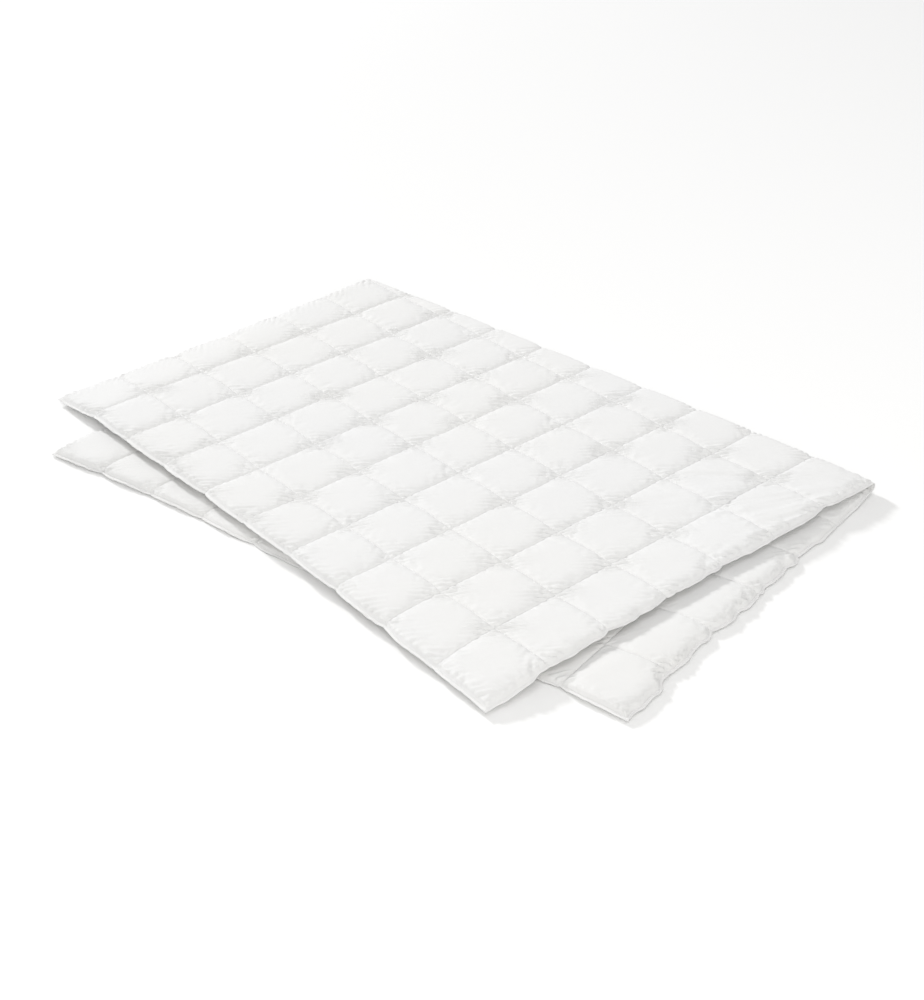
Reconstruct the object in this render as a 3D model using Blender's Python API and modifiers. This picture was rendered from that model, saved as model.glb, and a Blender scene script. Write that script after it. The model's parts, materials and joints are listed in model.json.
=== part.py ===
"""A stitched-through down quilt, folded once into two leaves that open on the fold.

Metres, +Z up. The quilt lies on the floor at z = 0, with its fold along X at the low-Y side. Its
lower leaf carries the foot edge and its upper leaf the head edge. Both leaves are the same grid of
sewn boxes, counted from their free edge and cut off at the fold. The fold runs slantwise from one
cross seam to the next, so the leaves lie at a small angle to each other.
"""

import math

import bmesh
import bpy
from mathutils import Matrix, Vector

# The quilt laid open.
QUILT_WIDTH = 1.55
QUILT_LENGTH = 2.0
BOXES_ACROSS = 10
BOXES_ALONG = 13

# The fold, as the cross seams that it meets at the low-X and high-X edge, counted from the head.
FOLD_SEAM_LEFT = 7
FOLD_SEAM_RIGHT = 6

# One leaf: crown to crown, the flat of each pillow, and the seams between pillows.
LEAF_LOFT = 0.018
PILLOW_SLOPE = 0.036
SEAM_THICKNESS = 0.002
CLOTH = 0.0004
DOWN_NECK = 0.0006

# Edges, stitching and the turned corner.
HEM_WIDTH = 0.008
STITCH_WIDTH = 0.0008
STITCH_HEIGHT = 0.0005
CORNER_FOLD_LENGTH = 0.014
CORNER_FOLD_WIDTH = 0.007

CLEARANCE = 0.0003
MERGE = 0.0001
CUTTER_REACH = 2.0

BOX_WIDTH = QUILT_WIDTH / BOXES_ACROSS
BOX_LENGTH = QUILT_LENGTH / BOXES_ALONG
FOLD_SLANT = math.atan2((FOLD_SEAM_LEFT - FOLD_SEAM_RIGHT) * BOX_LENGTH, QUILT_WIDTH)
FOLD_HEIGHT = LEAF_LOFT + CLEARANCE / 2
LEAF_ROWS = {
    "lower": BOXES_ALONG - FOLD_SEAM_LEFT,
    "upper": FOLD_SEAM_LEFT,
}
GRID_ROWS = {
    "lower": BOXES_ALONG - min(FOLD_SEAM_LEFT, FOLD_SEAM_RIGHT),
    "upper": max(FOLD_SEAM_LEFT, FOLD_SEAM_RIGHT),
}
TURN = {"lower": FOLD_SLANT, "upper": -FOLD_SLANT}

CLOTH_WHITE = (0.86, 0.86, 0.87, 1.0)
DOWN_WHITE = (0.90, 0.89, 0.86, 1.0)
THREAD_WHITE = (0.80, 0.80, 0.82, 1.0)
CLOTH_ROUGHNESS = 0.85
DOWN_ROUGHNESS = 1.0
THREAD_ROUGHNESS = 0.6


def clear_scene():
    """Removes every object, and every collection that the script makes again."""
    for obj in list(bpy.data.objects):
        bpy.data.objects.remove(obj)
    for collection in list(bpy.data.collections):
        bpy.data.collections.remove(collection)


def new_collection(name):
    """Links a new collection to the scene and returns it."""
    collection = bpy.data.collections.new(name)
    bpy.context.scene.collection.children.link(collection)
    return collection


def new_material(name, colour, roughness):
    """A plain non-metallic Principled material."""
    material = bpy.data.materials.new(name)
    material.use_nodes = True
    shader = material.node_tree.nodes["Principled BSDF"]
    shader.inputs["Base Color"].default_value = colour
    shader.inputs["Roughness"].default_value = roughness
    shader.inputs["Metallic"].default_value = 0.0
    return material


def leaf_outline(leaf):
    """The four corners of a leaf in the fold's own frame, whose X runs along the fold."""
    left = free_edge(leaf)
    turn = Matrix.Rotation(TURN[leaf], 4, "Z")
    along_fold = QUILT_WIDTH / math.cos(FOLD_SLANT)
    return [
        Vector((0.0, CLEARANCE / 2, 0.0)),
        Vector((along_fold, CLEARANCE / 2, 0.0)),
        turn @ Vector((0.0, left, 0.0)),
        turn @ Vector((QUILT_WIDTH, left, 0.0)),
    ]


def fold_start():
    """The fold's low-X end on the floor, placed so that the folded quilt is centred on the origin."""
    corners = leaf_outline("lower") + leaf_outline("upper")
    xs = [corner.x for corner in corners]
    ys = [corner.y for corner in corners]
    return Vector((-(min(xs) + max(xs)) / 2, -(min(ys) + max(ys)) / 2, 0.0))


def add_leaf_frame(collection, leaf):
    """An empty on the fold's axis, at its low-X end, turned along the leaf's seams."""
    empty = bpy.data.objects.new(leaf + "_leaf", None)
    empty.location = fold_start() + Vector((0.0, 0.0, FOLD_HEIGHT))
    empty.rotation_euler = (0.0, 0.0, TURN[leaf])
    collection.objects.link(empty)
    return empty


def middle_height(leaf):
    """Height of a leaf's middle plane above its frame."""
    middle = (LEAF_LOFT + CLEARANCE) / 2
    return middle if leaf == "upper" else -middle


def free_edge(leaf):
    """Where a leaf ends, in its frame: the head or foot edge of the quilt."""
    return LEAF_ROWS[leaf] * BOX_LENGTH


def column_lines():
    """Where the lengthwise seams cross the quilt, from hem to hem."""
    inner = [i * BOX_WIDTH for i in range(1, BOXES_ACROSS)]
    return [HEM_WIDTH] + inner + [QUILT_WIDTH - HEM_WIDTH]


def row_lines(leaf):
    """Where the cross seams of a leaf lie, in its frame, from past the fold to its free edge."""
    inner = [free_edge(leaf) - j * BOX_LENGTH for j in range(GRID_ROWS[leaf], 0, -1)]
    return inner + [free_edge(leaf) - HEM_WIDTH]


def grid_on_lines(xs, ys):
    """A flat grid of faces whose lines lie at the given places."""
    bm = bmesh.new()
    bmesh.ops.create_grid(bm, x_segments=len(xs) - 1, y_segments=len(ys) - 1, size=0.5)
    for vert in bm.verts:
        column = round((vert.co.x + 0.5) * (len(xs) - 1))
        row = round((vert.co.y + 0.5) * (len(ys) - 1))
        vert.co = (xs[column], ys[row], 0.0)
    return bm


def raise_pillows(bm, slope, rise):
    """Lifts the middle of each face, which leaves the seam lines down between sloping sides."""
    bmesh.ops.inset_individual(
        bm, faces=bm.faces[:], thickness=slope, depth=rise, use_even_offset=True
    )


def add_object(collection, name, bm, frame, location, material):
    """Turns a bmesh into a named object placed in a leaf's frame."""
    mesh = bpy.data.meshes.new(name)
    bm.to_mesh(mesh)
    bm.free()
    mesh.materials.append(material)
    obj = bpy.data.objects.new(name, mesh)
    collection.objects.link(obj)
    obj.parent = frame
    obj.location = location
    return obj


def thicken(obj, thickness):
    """Gives an open surface its thickness, inwards from the face that shows."""
    solidify = obj.modifiers.new("thickness", "SOLIDIFY")
    solidify.thickness = thickness
    solidify.offset = -1.0
    solidify.use_even_offset = True


def cut_at_fold(obj, cutter):
    """Ends a piece at the fold line."""
    boolean = obj.modifiers.new("fold_cut", "BOOLEAN")
    boolean.operation = "DIFFERENCE"
    boolean.solver = "EXACT"
    boolean.object = cutter


def add_fold_cutter(collection, start):
    """A block over everything beyond the fold line."""
    bpy.ops.mesh.primitive_cube_add(size=1.0)
    cutter = bpy.context.active_object
    cutter.name = "fold_cutter"
    cutter.data.transform(Matrix.Diagonal((2 * CUTTER_REACH, CUTTER_REACH, 1.0, 1.0)))
    cutter.location = (0.0, start.y - CUTTER_REACH / 2 + CLEARANCE / 2, 0.0)
    for owner in list(cutter.users_collection):
        owner.objects.unlink(cutter)
    collection.objects.link(cutter)
    cutter.hide_render = True
    cutter.display_type = "WIRE"
    return cutter


def add_panel(collection, leaf, side, frame, cutter):
    """One ply of the casing over a whole leaf: a thin quilted sheet. The outer ply faces away
    from the fold's inside, so it is under the lower leaf and on top of the upper one."""
    name = f"{leaf}_{side}_panel"
    faces_up = (leaf == "upper") == (side == "outer")
    bm = grid_on_lines(column_lines(), row_lines(leaf))
    raise_pillows(bm, PILLOW_SLOPE, (LEAF_LOFT - SEAM_THICKNESS) / 2)
    height = middle_height(leaf) + (SEAM_THICKNESS if faces_up else -SEAM_THICKNESS) / 2
    if not faces_up:
        bmesh.ops.scale(bm, vec=(1.0, 1.0, -1.0), verts=bm.verts[:])
        bmesh.ops.reverse_faces(bm, faces=bm.faces[:])
    material = new_material(name, CLOTH_WHITE, CLOTH_ROUGHNESS)
    obj = add_object(collection, name, bm, frame, (0.0, 0.0, height), material)
    thicken(obj, CLOTH)
    cut_at_fold(obj, cutter)


def add_down_channel(collection, leaf, number, frame, cutter):
    """The down between two lengthwise seams: one pillow for each box, joined at the cross seams
    by a neck as thin as the cloth allows."""
    name = f"{leaf}_down_channel_{number:02d}"
    lines = column_lines()
    sides = [lines[number - 1] + CLEARANCE, lines[number] - CLEARANCE]
    rows = row_lines(leaf)
    rows[-1] -= CLEARANCE
    bm = grid_on_lines(sides, rows)
    loft = LEAF_LOFT - 2 * (CLOTH + CLEARANCE)
    raise_pillows(bm, PILLOW_SLOPE, (loft - DOWN_NECK) / 2)
    rim = [edge for edge in bm.edges if edge.is_boundary]
    wall = bmesh.ops.extrude_edge_only(bm, edges=rim)["geom"]
    bmesh.ops.translate(
        bm,
        vec=(0.0, 0.0, -DOWN_NECK / 2),
        verts=[item for item in wall if isinstance(item, bmesh.types.BMVert)],
    )
    bmesh.ops.translate(bm, vec=(0.0, 0.0, DOWN_NECK / 2), verts=bm.verts[:])
    bmesh.ops.recalc_face_normals(bm, faces=bm.faces[:])
    material = new_material(name, DOWN_WHITE, DOWN_ROUGHNESS)
    obj = add_object(collection, name, bm, frame, (0.0, 0.0, middle_height(leaf)), material)
    mirror = obj.modifiers.new("underside", "MIRROR")
    mirror.use_axis = (False, False, True)
    mirror.merge_threshold = MERGE
    cut_at_fold(obj, cutter)


def bands(lines):
    """The two edges of the stitching along each inner line, between the first and the last line."""
    edges = [lines[0] + CLEARANCE]
    for line in lines[1:-1]:
        edges += [line - STITCH_WIDTH / 2, line + STITCH_WIDTH / 2]
    return edges + [lines[-1] - CLEARANCE]


def add_stitching(collection, leaf, frame, cutter):
    """The quilting stitches of a leaf, lying along its seams on the side that faces up."""
    name = f"{leaf}_stitching"
    columns = bands(column_lines())
    rows = bands(row_lines(leaf))
    bm = grid_on_lines(columns, rows)
    on_columns = list(zip(columns[1:-1:2], columns[2:-1:2]))
    on_rows = list(zip(rows[1:-1:2], rows[2:-1:2]))
    boxes = []
    for face in bm.faces:
        middle = face.calc_center_median()
        sewn_across = any(low < middle.y < high for low, high in on_rows)
        sewn_along = any(low < middle.x < high for low, high in on_columns)
        if not (sewn_across or sewn_along):
            boxes.append(face)
    bmesh.ops.delete(bm, geom=boxes, context="FACES")
    height = middle_height(leaf) + SEAM_THICKNESS / 2 + CLEARANCE + STITCH_HEIGHT
    material = new_material(name, THREAD_WHITE, THREAD_ROUGHNESS)
    obj = add_object(collection, name, bm, frame, (0.0, 0.0, height), material)
    thicken(obj, STITCH_HEIGHT)
    cut_at_fold(obj, cutter)


def add_strip(collection, name, frame, corner, size, material):
    """A flat strip of doubled cloth from its low corner and its size."""
    bm = bmesh.new()
    bmesh.ops.create_cube(bm, size=1.0)
    bmesh.ops.scale(bm, vec=size, verts=bm.verts[:])
    middle = Vector(corner) + Vector(size) / 2
    return add_object(collection, name, bm, frame, middle, material)


def add_hems(collection, leaf, frame, cutter):
    """The hem of a leaf: one strip down each side, and one along its free edge between them."""
    bottom = middle_height(leaf) - SEAM_THICKNESS / 2
    strip = HEM_WIDTH - CLEARANCE
    side_length = (GRID_ROWS[leaf] + 1) * BOX_LENGTH
    for side, x in (("left", 0.0), ("right", QUILT_WIDTH - strip)):
        name = f"{leaf}_{side}_hem"
        hem = add_strip(
            collection,
            name,
            frame,
            (x, free_edge(leaf) - side_length, bottom),
            (strip, side_length, SEAM_THICKNESS),
            new_material(name, CLOTH_WHITE, CLOTH_ROUGHNESS),
        )
        cut_at_fold(hem, cutter)
    name = f"{leaf}_head_hem" if leaf == "upper" else f"{leaf}_foot_hem"
    add_strip(
        collection,
        name,
        frame,
        (HEM_WIDTH, free_edge(leaf) - strip, bottom),
        (QUILT_WIDTH - 2 * HEM_WIDTH, strip, SEAM_THICKNESS),
        new_material(name, CLOTH_WHITE, CLOTH_ROUGHNESS),
    )


def add_corner_fold(collection, frame):
    """The corner of the foot hem, turned up and over onto the left-hand hem."""
    name = "lower_corner_fold"
    top = middle_height("lower") + SEAM_THICKNESS / 2
    add_strip(
        collection,
        name,
        frame,
        (0.0, free_edge("lower") - CORNER_FOLD_WIDTH, top + CLEARANCE),
        (CORNER_FOLD_LENGTH, CORNER_FOLD_WIDTH, CLOTH),
        new_material(name, CLOTH_WHITE, CLOTH_ROUGHNESS),
    )


def main():
    clear_scene()
    parts = new_collection("folded_quilt")
    cutters = new_collection("cutters")
    start = fold_start()
    cutter = add_fold_cutter(cutters, start)
    for leaf in ("lower", "upper"):
        frame = add_leaf_frame(parts, leaf)
        for side in ("outer", "inner"):
            add_panel(parts, leaf, side, frame, cutter)
        for number in range(1, BOXES_ACROSS + 1):
            add_down_channel(parts, leaf, number, frame, cutter)
        add_stitching(parts, leaf, frame, cutter)
        add_hems(parts, leaf, frame, cutter)
        if leaf == "lower":
            add_corner_fold(parts, frame)


main()
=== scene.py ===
"""A box-stitched down quilt, folded over itself along a slanting line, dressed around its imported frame."""

import json
import logging
import math
from dataclasses import dataclass, field
from enum import Enum, IntEnum

import bmesh
import bpy
import numpy as np
from mathutils import Matrix, Vector


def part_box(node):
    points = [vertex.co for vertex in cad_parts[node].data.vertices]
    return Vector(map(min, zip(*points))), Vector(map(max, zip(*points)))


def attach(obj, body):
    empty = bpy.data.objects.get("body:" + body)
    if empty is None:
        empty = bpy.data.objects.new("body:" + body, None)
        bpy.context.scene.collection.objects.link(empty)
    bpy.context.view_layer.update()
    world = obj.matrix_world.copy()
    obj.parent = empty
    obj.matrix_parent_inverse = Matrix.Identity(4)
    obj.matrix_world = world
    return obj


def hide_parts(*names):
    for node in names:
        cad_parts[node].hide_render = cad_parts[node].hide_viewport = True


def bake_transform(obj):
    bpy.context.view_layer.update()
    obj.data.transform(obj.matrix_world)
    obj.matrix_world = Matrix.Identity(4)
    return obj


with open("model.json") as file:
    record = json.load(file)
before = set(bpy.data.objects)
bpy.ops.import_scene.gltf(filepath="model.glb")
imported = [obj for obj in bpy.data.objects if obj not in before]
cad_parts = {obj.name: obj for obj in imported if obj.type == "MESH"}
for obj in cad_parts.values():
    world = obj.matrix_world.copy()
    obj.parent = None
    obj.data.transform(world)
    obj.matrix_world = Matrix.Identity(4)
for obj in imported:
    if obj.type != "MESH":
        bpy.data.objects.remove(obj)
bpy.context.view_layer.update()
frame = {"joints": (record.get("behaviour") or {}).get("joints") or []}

LOG = logging.getLogger("quilt")
Grid = np.ndarray
Colour = tuple[float, float, float]
Profile = tuple[tuple[float, float], ...]
LOWER_BODY = "lower_leaf"
UPPER_BODY = "upper_leaf"
OUTER_PLY = 0
INNER_PLY = 1
SHARP_TURN = math.radians(62.0)
WELD = 0.0003
STAND_OFF = 0.00015
WHITE = (1.0, 1.0, 1.0)
CASING_CLOTH: dict[str, float | bool] = {
    "quality": 5,
    "mass": 0.15,
    "air_damping": 1.0,
    "tension_stiffness": 15.0,
    "compression_stiffness": 15.0,
    "shear_stiffness": 4.5,
    "tension_damping": 5.0,
    "compression_damping": 5.0,
    "shear_damping": 5.0,
    "bending_damping": 0.5,
    "use_pressure": True,
}


class Edge(Enum):
    """The edges of a leaf that can be drawn in."""

    LEFT = "left"
    RIGHT = "right"
    FREE = "free"


class Leaf(Enum):
    """The two leaves that the fold makes of one quilt."""

    LOWER = "lower"
    UPPER = "upper"


class Seed(IntEnum):
    """Which smooth random pattern each effect takes. One that differs by ply adds the ply's number."""

    FOLD_PATH = 5
    FOLD_STRENGTH = 15
    FOLD_PATCH = 31
    SWELL = 40
    UNEVEN_SIDE = 44
    UNEVEN_FREE = 46
    RUFFLE = 48
    FILL_HILLS = 50
    FAN = 61
    FAN_DETAIL = 67
    WANDER = 71
    SWAY = 77
    RIM_PATH = 81
    RIM_STRENGTH = 83
    RIM_REACH = 85
    ROLL = 91
    ROLL_DETAIL = 93
    HEM = 101


# ---------------------------------------------------------------- number helpers


def smoothstep(value: Grid | float, low: float, high: float) -> Grid:
    """Rises smoothly from 0 at low to 1 at high.

    Args:
        value: The number or numbers to map.
        low: Where the rise starts.
        high: Where it ends.

    Returns:
        Numbers from 0 to 1.
    """
    share = np.clip((np.asarray(value) - low) / (high - low), 0.0, 1.0)
    return share * share * (3.0 - 2.0 * share)


def soft_floor(value: Grid, lowest: Grid | float, ease: float) -> Grid:
    """Keeps a height above a floor, with a rounded meeting.

    Args:
        value: Heights.
        lowest: The floor's height.
        ease: The height over which the two meet.

    Returns:
        Heights that are never below the floor.
    """
    return 0.5 * (value + lowest + np.sqrt((value - lowest) ** 2 + ease * ease))


def soft_ceiling(value: Grid, highest: Grid | float, ease: float) -> Grid:
    """Keeps a height below a ceiling, with a rounded meeting.

    Args:
        value: Heights.
        highest: The ceiling's height.
        ease: The height over which the two meet.

    Returns:
        Heights that are never above the ceiling.
    """
    return 0.5 * (value + highest - np.sqrt((value - highest) ** 2 + ease * ease))


def ripple(across: Grid, along: Grid, seed: float) -> Grid:
    """Smooth random hills of about one unit across.

    Args:
        across: First coordinate, in hill widths.
        along: Second coordinate, in hill widths.
        seed: Picks the pattern.

    Returns:
        Heights from -1 to 1.
    """
    across, along = np.broadcast_arrays(np.asarray(across, float), np.asarray(along, float))
    column, row = np.floor(across), np.floor(along)
    part_x, part_y = across - column, along - row
    part_x = part_x * part_x * (3 - 2 * part_x)
    part_y = part_y * part_y * (3 - 2 * part_y)

    def corner(step_x: int, step_y: int) -> Grid:
        """The random height of one lattice corner."""
        mixed = np.sin((column + step_x) * 127.1 + (row + step_y) * 311.7 + seed * 74.7) * 43758.5453
        return 2.0 * (mixed - np.floor(mixed)) - 1.0

    near = corner(0, 0) * (1 - part_x) + corner(1, 0) * part_x
    far = corner(0, 1) * (1 - part_x) + corner(1, 1) * part_x
    return near * (1 - part_y) + far * part_y


# ---------------------------------------------------------------- mesh helpers


def quads_of(rows: int, columns: int, first: int = 0) -> Grid:
    """The faces of a grid of points, row after row.

    Args:
        rows: Rows of points.
        columns: Points in a row.
        first: Index of the grid's first point.

    Returns:
        One line of four point indices for each face.
    """
    corner = (np.arange(rows - 1)[:, None] * columns + np.arange(columns - 1)[None, :]).ravel() + first
    return np.stack([corner, corner + 1, corner + columns + 1, corner + columns], axis=1)


def strip_between(one: Grid, other: Grid) -> Grid:
    """Faces that join two lines of points.

    Args:
        one: Point indices of the first line.
        other: Point indices of the second line, as many.

    Returns:
        One line of four point indices for each face.
    """
    return np.stack([one[:-1], one[1:], other[1:], other[:-1]], axis=1)


def sheet_faces(rows: int, columns: int) -> Grid:
    """The faces of a closed sheet: its two sides, one grid after the other, and the walls between.

    Args:
        rows: Rows of points on each side.
        columns: Points in a row.

    Returns:
        One line of four point indices for each face.
    """
    count = rows * columns
    index = np.arange(count).reshape(rows, columns)
    faces = [quads_of(rows, columns), quads_of(rows, columns, count)]
    faces += [strip_between(rim, rim + count) for rim in (index[0], index[-1], index[:, 0], index[:, -1])]
    return np.concatenate(faces)


def band_faces(around: int, count: int) -> Grid:
    """The faces of a closed band whose points lie in lines from end to end, with a cap at each end.

    Args:
        around: Lines of points round the band, an even number.
        count: Points in a line.

    Returns:
        One line of four point indices for each face.
    """
    index = np.arange(around * count).reshape(around, count)
    faces = [strip_between(index[k], index[(k + 1) % around]) for k in range(around)]
    for rail in (index[:, 0], index[:, -1]):
        cap = [[rail[k], rail[k + 1], rail[-2 - k], rail[-1 - k]] for k in range(around // 2 - 1)]
        faces.append(np.array(cap))
    return np.concatenate(faces)


def make_piece(
    name: str,
    points: Grid,
    faces: Grid,
    cloth_map: Grid | None = None,
    marks: dict[str, Grid] | None = None,
    weld: float = 0.0,
    closed: bool = True,
) -> bpy.types.Object:
    """Makes a mesh object from arrays.

    Args:
        name: The piece's name.
        points: One line of x, y and z for each point, in metres.
        faces: One line of four point indices for each face.
        cloth_map: Each point's place on the flat cloth, in metres.
        marks: Numbers that each point carries for the materials.
        weld: Distance within which points become one.
        closed: Whether the faces close a solid, and so are turned outwards.

    Returns:
        The new object, in the scene.
    """
    mesh = bpy.data.meshes.new(name)
    mesh.vertices.add(len(points))
    mesh.vertices.foreach_set("co", np.ascontiguousarray(points, np.float32).ravel())
    mesh.loops.add(faces.size)
    mesh.loops.foreach_set("vertex_index", faces.astype(np.int32).ravel())
    mesh.polygons.add(len(faces))
    mesh.polygons.foreach_set("loop_start", np.arange(0, faces.size, 4, dtype=np.int32))
    mesh.update(calc_edges=True)
    if cloth_map is not None:
        layer = mesh.uv_layers.new(name="cloth")
        layer.data.foreach_set("uv", cloth_map[faces.ravel()].astype(np.float32).ravel())
    for mark, values in (marks or {}).items():
        attribute = mesh.attributes.new(mark, "FLOAT", "POINT")
        attribute.data.foreach_set("value", values.astype(np.float32).ravel())
    solid = bmesh.new()
    solid.from_mesh(mesh)
    if weld > 0.0:
        bmesh.ops.remove_doubles(solid, verts=solid.verts, dist=weld)
    if closed:
        bmesh.ops.recalc_face_normals(solid, faces=solid.faces)
    solid.to_mesh(mesh)
    solid.free()
    mesh.polygons.foreach_set("use_smooth", np.ones(len(mesh.polygons), bool))
    mesh.set_sharp_from_angle(angle=SHARP_TURN)
    piece = bpy.data.objects.new(name, mesh)
    bpy.context.scene.collection.objects.link(piece)
    return piece


# ---------------------------------------------------------------- node helpers


class NodeBoard:
    """A short hand for laying out shader nodes."""

    def __init__(self, tree: bpy.types.NodeTree) -> None:
        """Keeps the tree that the nodes go into."""
        self.tree = tree

    def add(self, kind: str, **settings: object) -> bpy.types.Node:
        """Adds a node.

        Args:
            kind: Blender's name for the node type.
            **settings: Properties to set on it.

        Returns:
            The node.
        """
        node = self.tree.nodes.new(kind)
        for name, value in settings.items():
            setattr(node, name, value)
        return node

    def link(self, source: object, target: bpy.types.NodeSocket) -> None:
        """Joins a socket to an input, or sets the input to a plain value.

        Args:
            source: A number, a colour or a socket.
            target: The input.
        """
        if isinstance(source, bpy.types.NodeSocket):
            self.tree.links.new(source, target)
        else:
            target.default_value = source

    def fed(self, node: bpy.types.Node, inputs: dict[str | int, object]) -> bpy.types.NodeSocket:
        """Fills a node's inputs.

        Args:
            node: The node.
            inputs: A number, a colour or a socket for each input's name or place.

        Returns:
            The node's first output.
        """
        for name, value in inputs.items():
            self.link(value, node.inputs[name])
        return node.outputs[0]

    def math(self, operation: str, one: object, other: object = 0.0) -> bpy.types.NodeSocket:
        """Adds a sum of two numbers or sockets.

        Args:
            operation: Blender's name for the sum.
            one: A number or a socket.
            other: A number or a socket.

        Returns:
            The socket with the result.
        """
        return self.fed(self.add("ShaderNodeMath", operation=operation), {0: one, 1: other})

    def noise(
        self, place: bpy.types.NodeSocket, scale: float, detail: float = 2.0, twist: float = 0.0
    ) -> bpy.types.NodeSocket:
        """Adds a cloudy pattern.

        Args:
            place: The coordinates that it lies on.
            scale: How many clouds there are to one unit.
            detail: How many finer layers it has.
            twist: How far the clouds are pulled about.

        Returns:
            The socket with numbers round one half.
        """
        sizes = {"Vector": place, "Scale": scale, "Detail": detail, "Distortion": twist}
        return self.fed(self.add("ShaderNodeTexNoise"), sizes)

    def mix(self, share: object, one: object, other: object, blend: str = "MIX") -> bpy.types.NodeSocket:
        """Adds a mix of two colours.

        Args:
            share: How much of the other colour there is.
            one: A colour or a socket.
            other: A colour or a socket.
            blend: Blender's name for the way they mix.

        Returns:
            The socket with the mixed colour.
        """
        node = self.add("ShaderNodeMix", data_type="RGBA", blend_type=blend)
        self.fed(node, {"Factor": share, "A": one, "B": other})
        return node.outputs["Result"]

    def bump(self, height: bpy.types.NodeSocket, distance: float) -> bpy.types.NodeSocket:
        """Adds relief.

        Args:
            height: The socket with the heights.
            distance: Depth of one unit of height, in metres.

        Returns:
            The socket with the bent normal.
        """
        sizes = {"Strength": 1.0, "Distance": distance, "Height": height}
        return self.fed(self.add("ShaderNodeBump"), sizes)


def new_finish(name: str) -> tuple[bpy.types.Material, NodeBoard, bpy.types.Node]:
    """Starts a material.

    Args:
        name: The material's name.

    Returns:
        The material, its board and its shader.
    """
    made = bpy.data.materials.new(name)
    made.use_nodes = True
    return made, NodeBoard(made.node_tree), made.node_tree.nodes["Principled BSDF"]


# ---------------------------------------------------------------- the flat quilt


@dataclass(frozen=True)
class QuiltCut:
    """The quilt as it lies flat: its size, its boxes and its hem."""

    width: float = 1.55
    length: float = 2.0
    boxes_across: int = 10
    boxes_along: int = 13
    fold_box: int = 6
    hem: float = 0.005
    seam_half: float = 0.001
    crown: float = 0.0057

    @property
    def box_width(self) -> float:
        """Distance between two lengthwise seams."""
        return self.width / self.boxes_across

    @property
    def box_length(self) -> float:
        """Distance between two cross seams."""
        return self.length / self.boxes_along

    @property
    def slant(self) -> float:
        """Angle of each leaf to the square line across the fold, in radians."""
        return math.atan2(self.box_length, self.width)

    def lengthwise_seams(self) -> Grid:
        """Places of the lengthwise seams and the two hem lines, from the left edge."""
        seams = np.arange(self.boxes_across + 1) * self.box_width
        seams[0] = self.hem
        seams[-1] = self.width - self.hem
        return seams


@dataclass(frozen=True)
class PuffRecipe:
    """How one box of downproof cloth is blown up by its fill."""

    cells: int = 48
    patterns: int = 8
    growth: float = 0.014
    pressure: float = 4.0
    bending: float = 0.4
    steps: int = 24
    start_height: float = 0.0024
    fine_hills: int = 14
    coarse_hills: int = 5
    seed: int = 11


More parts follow.
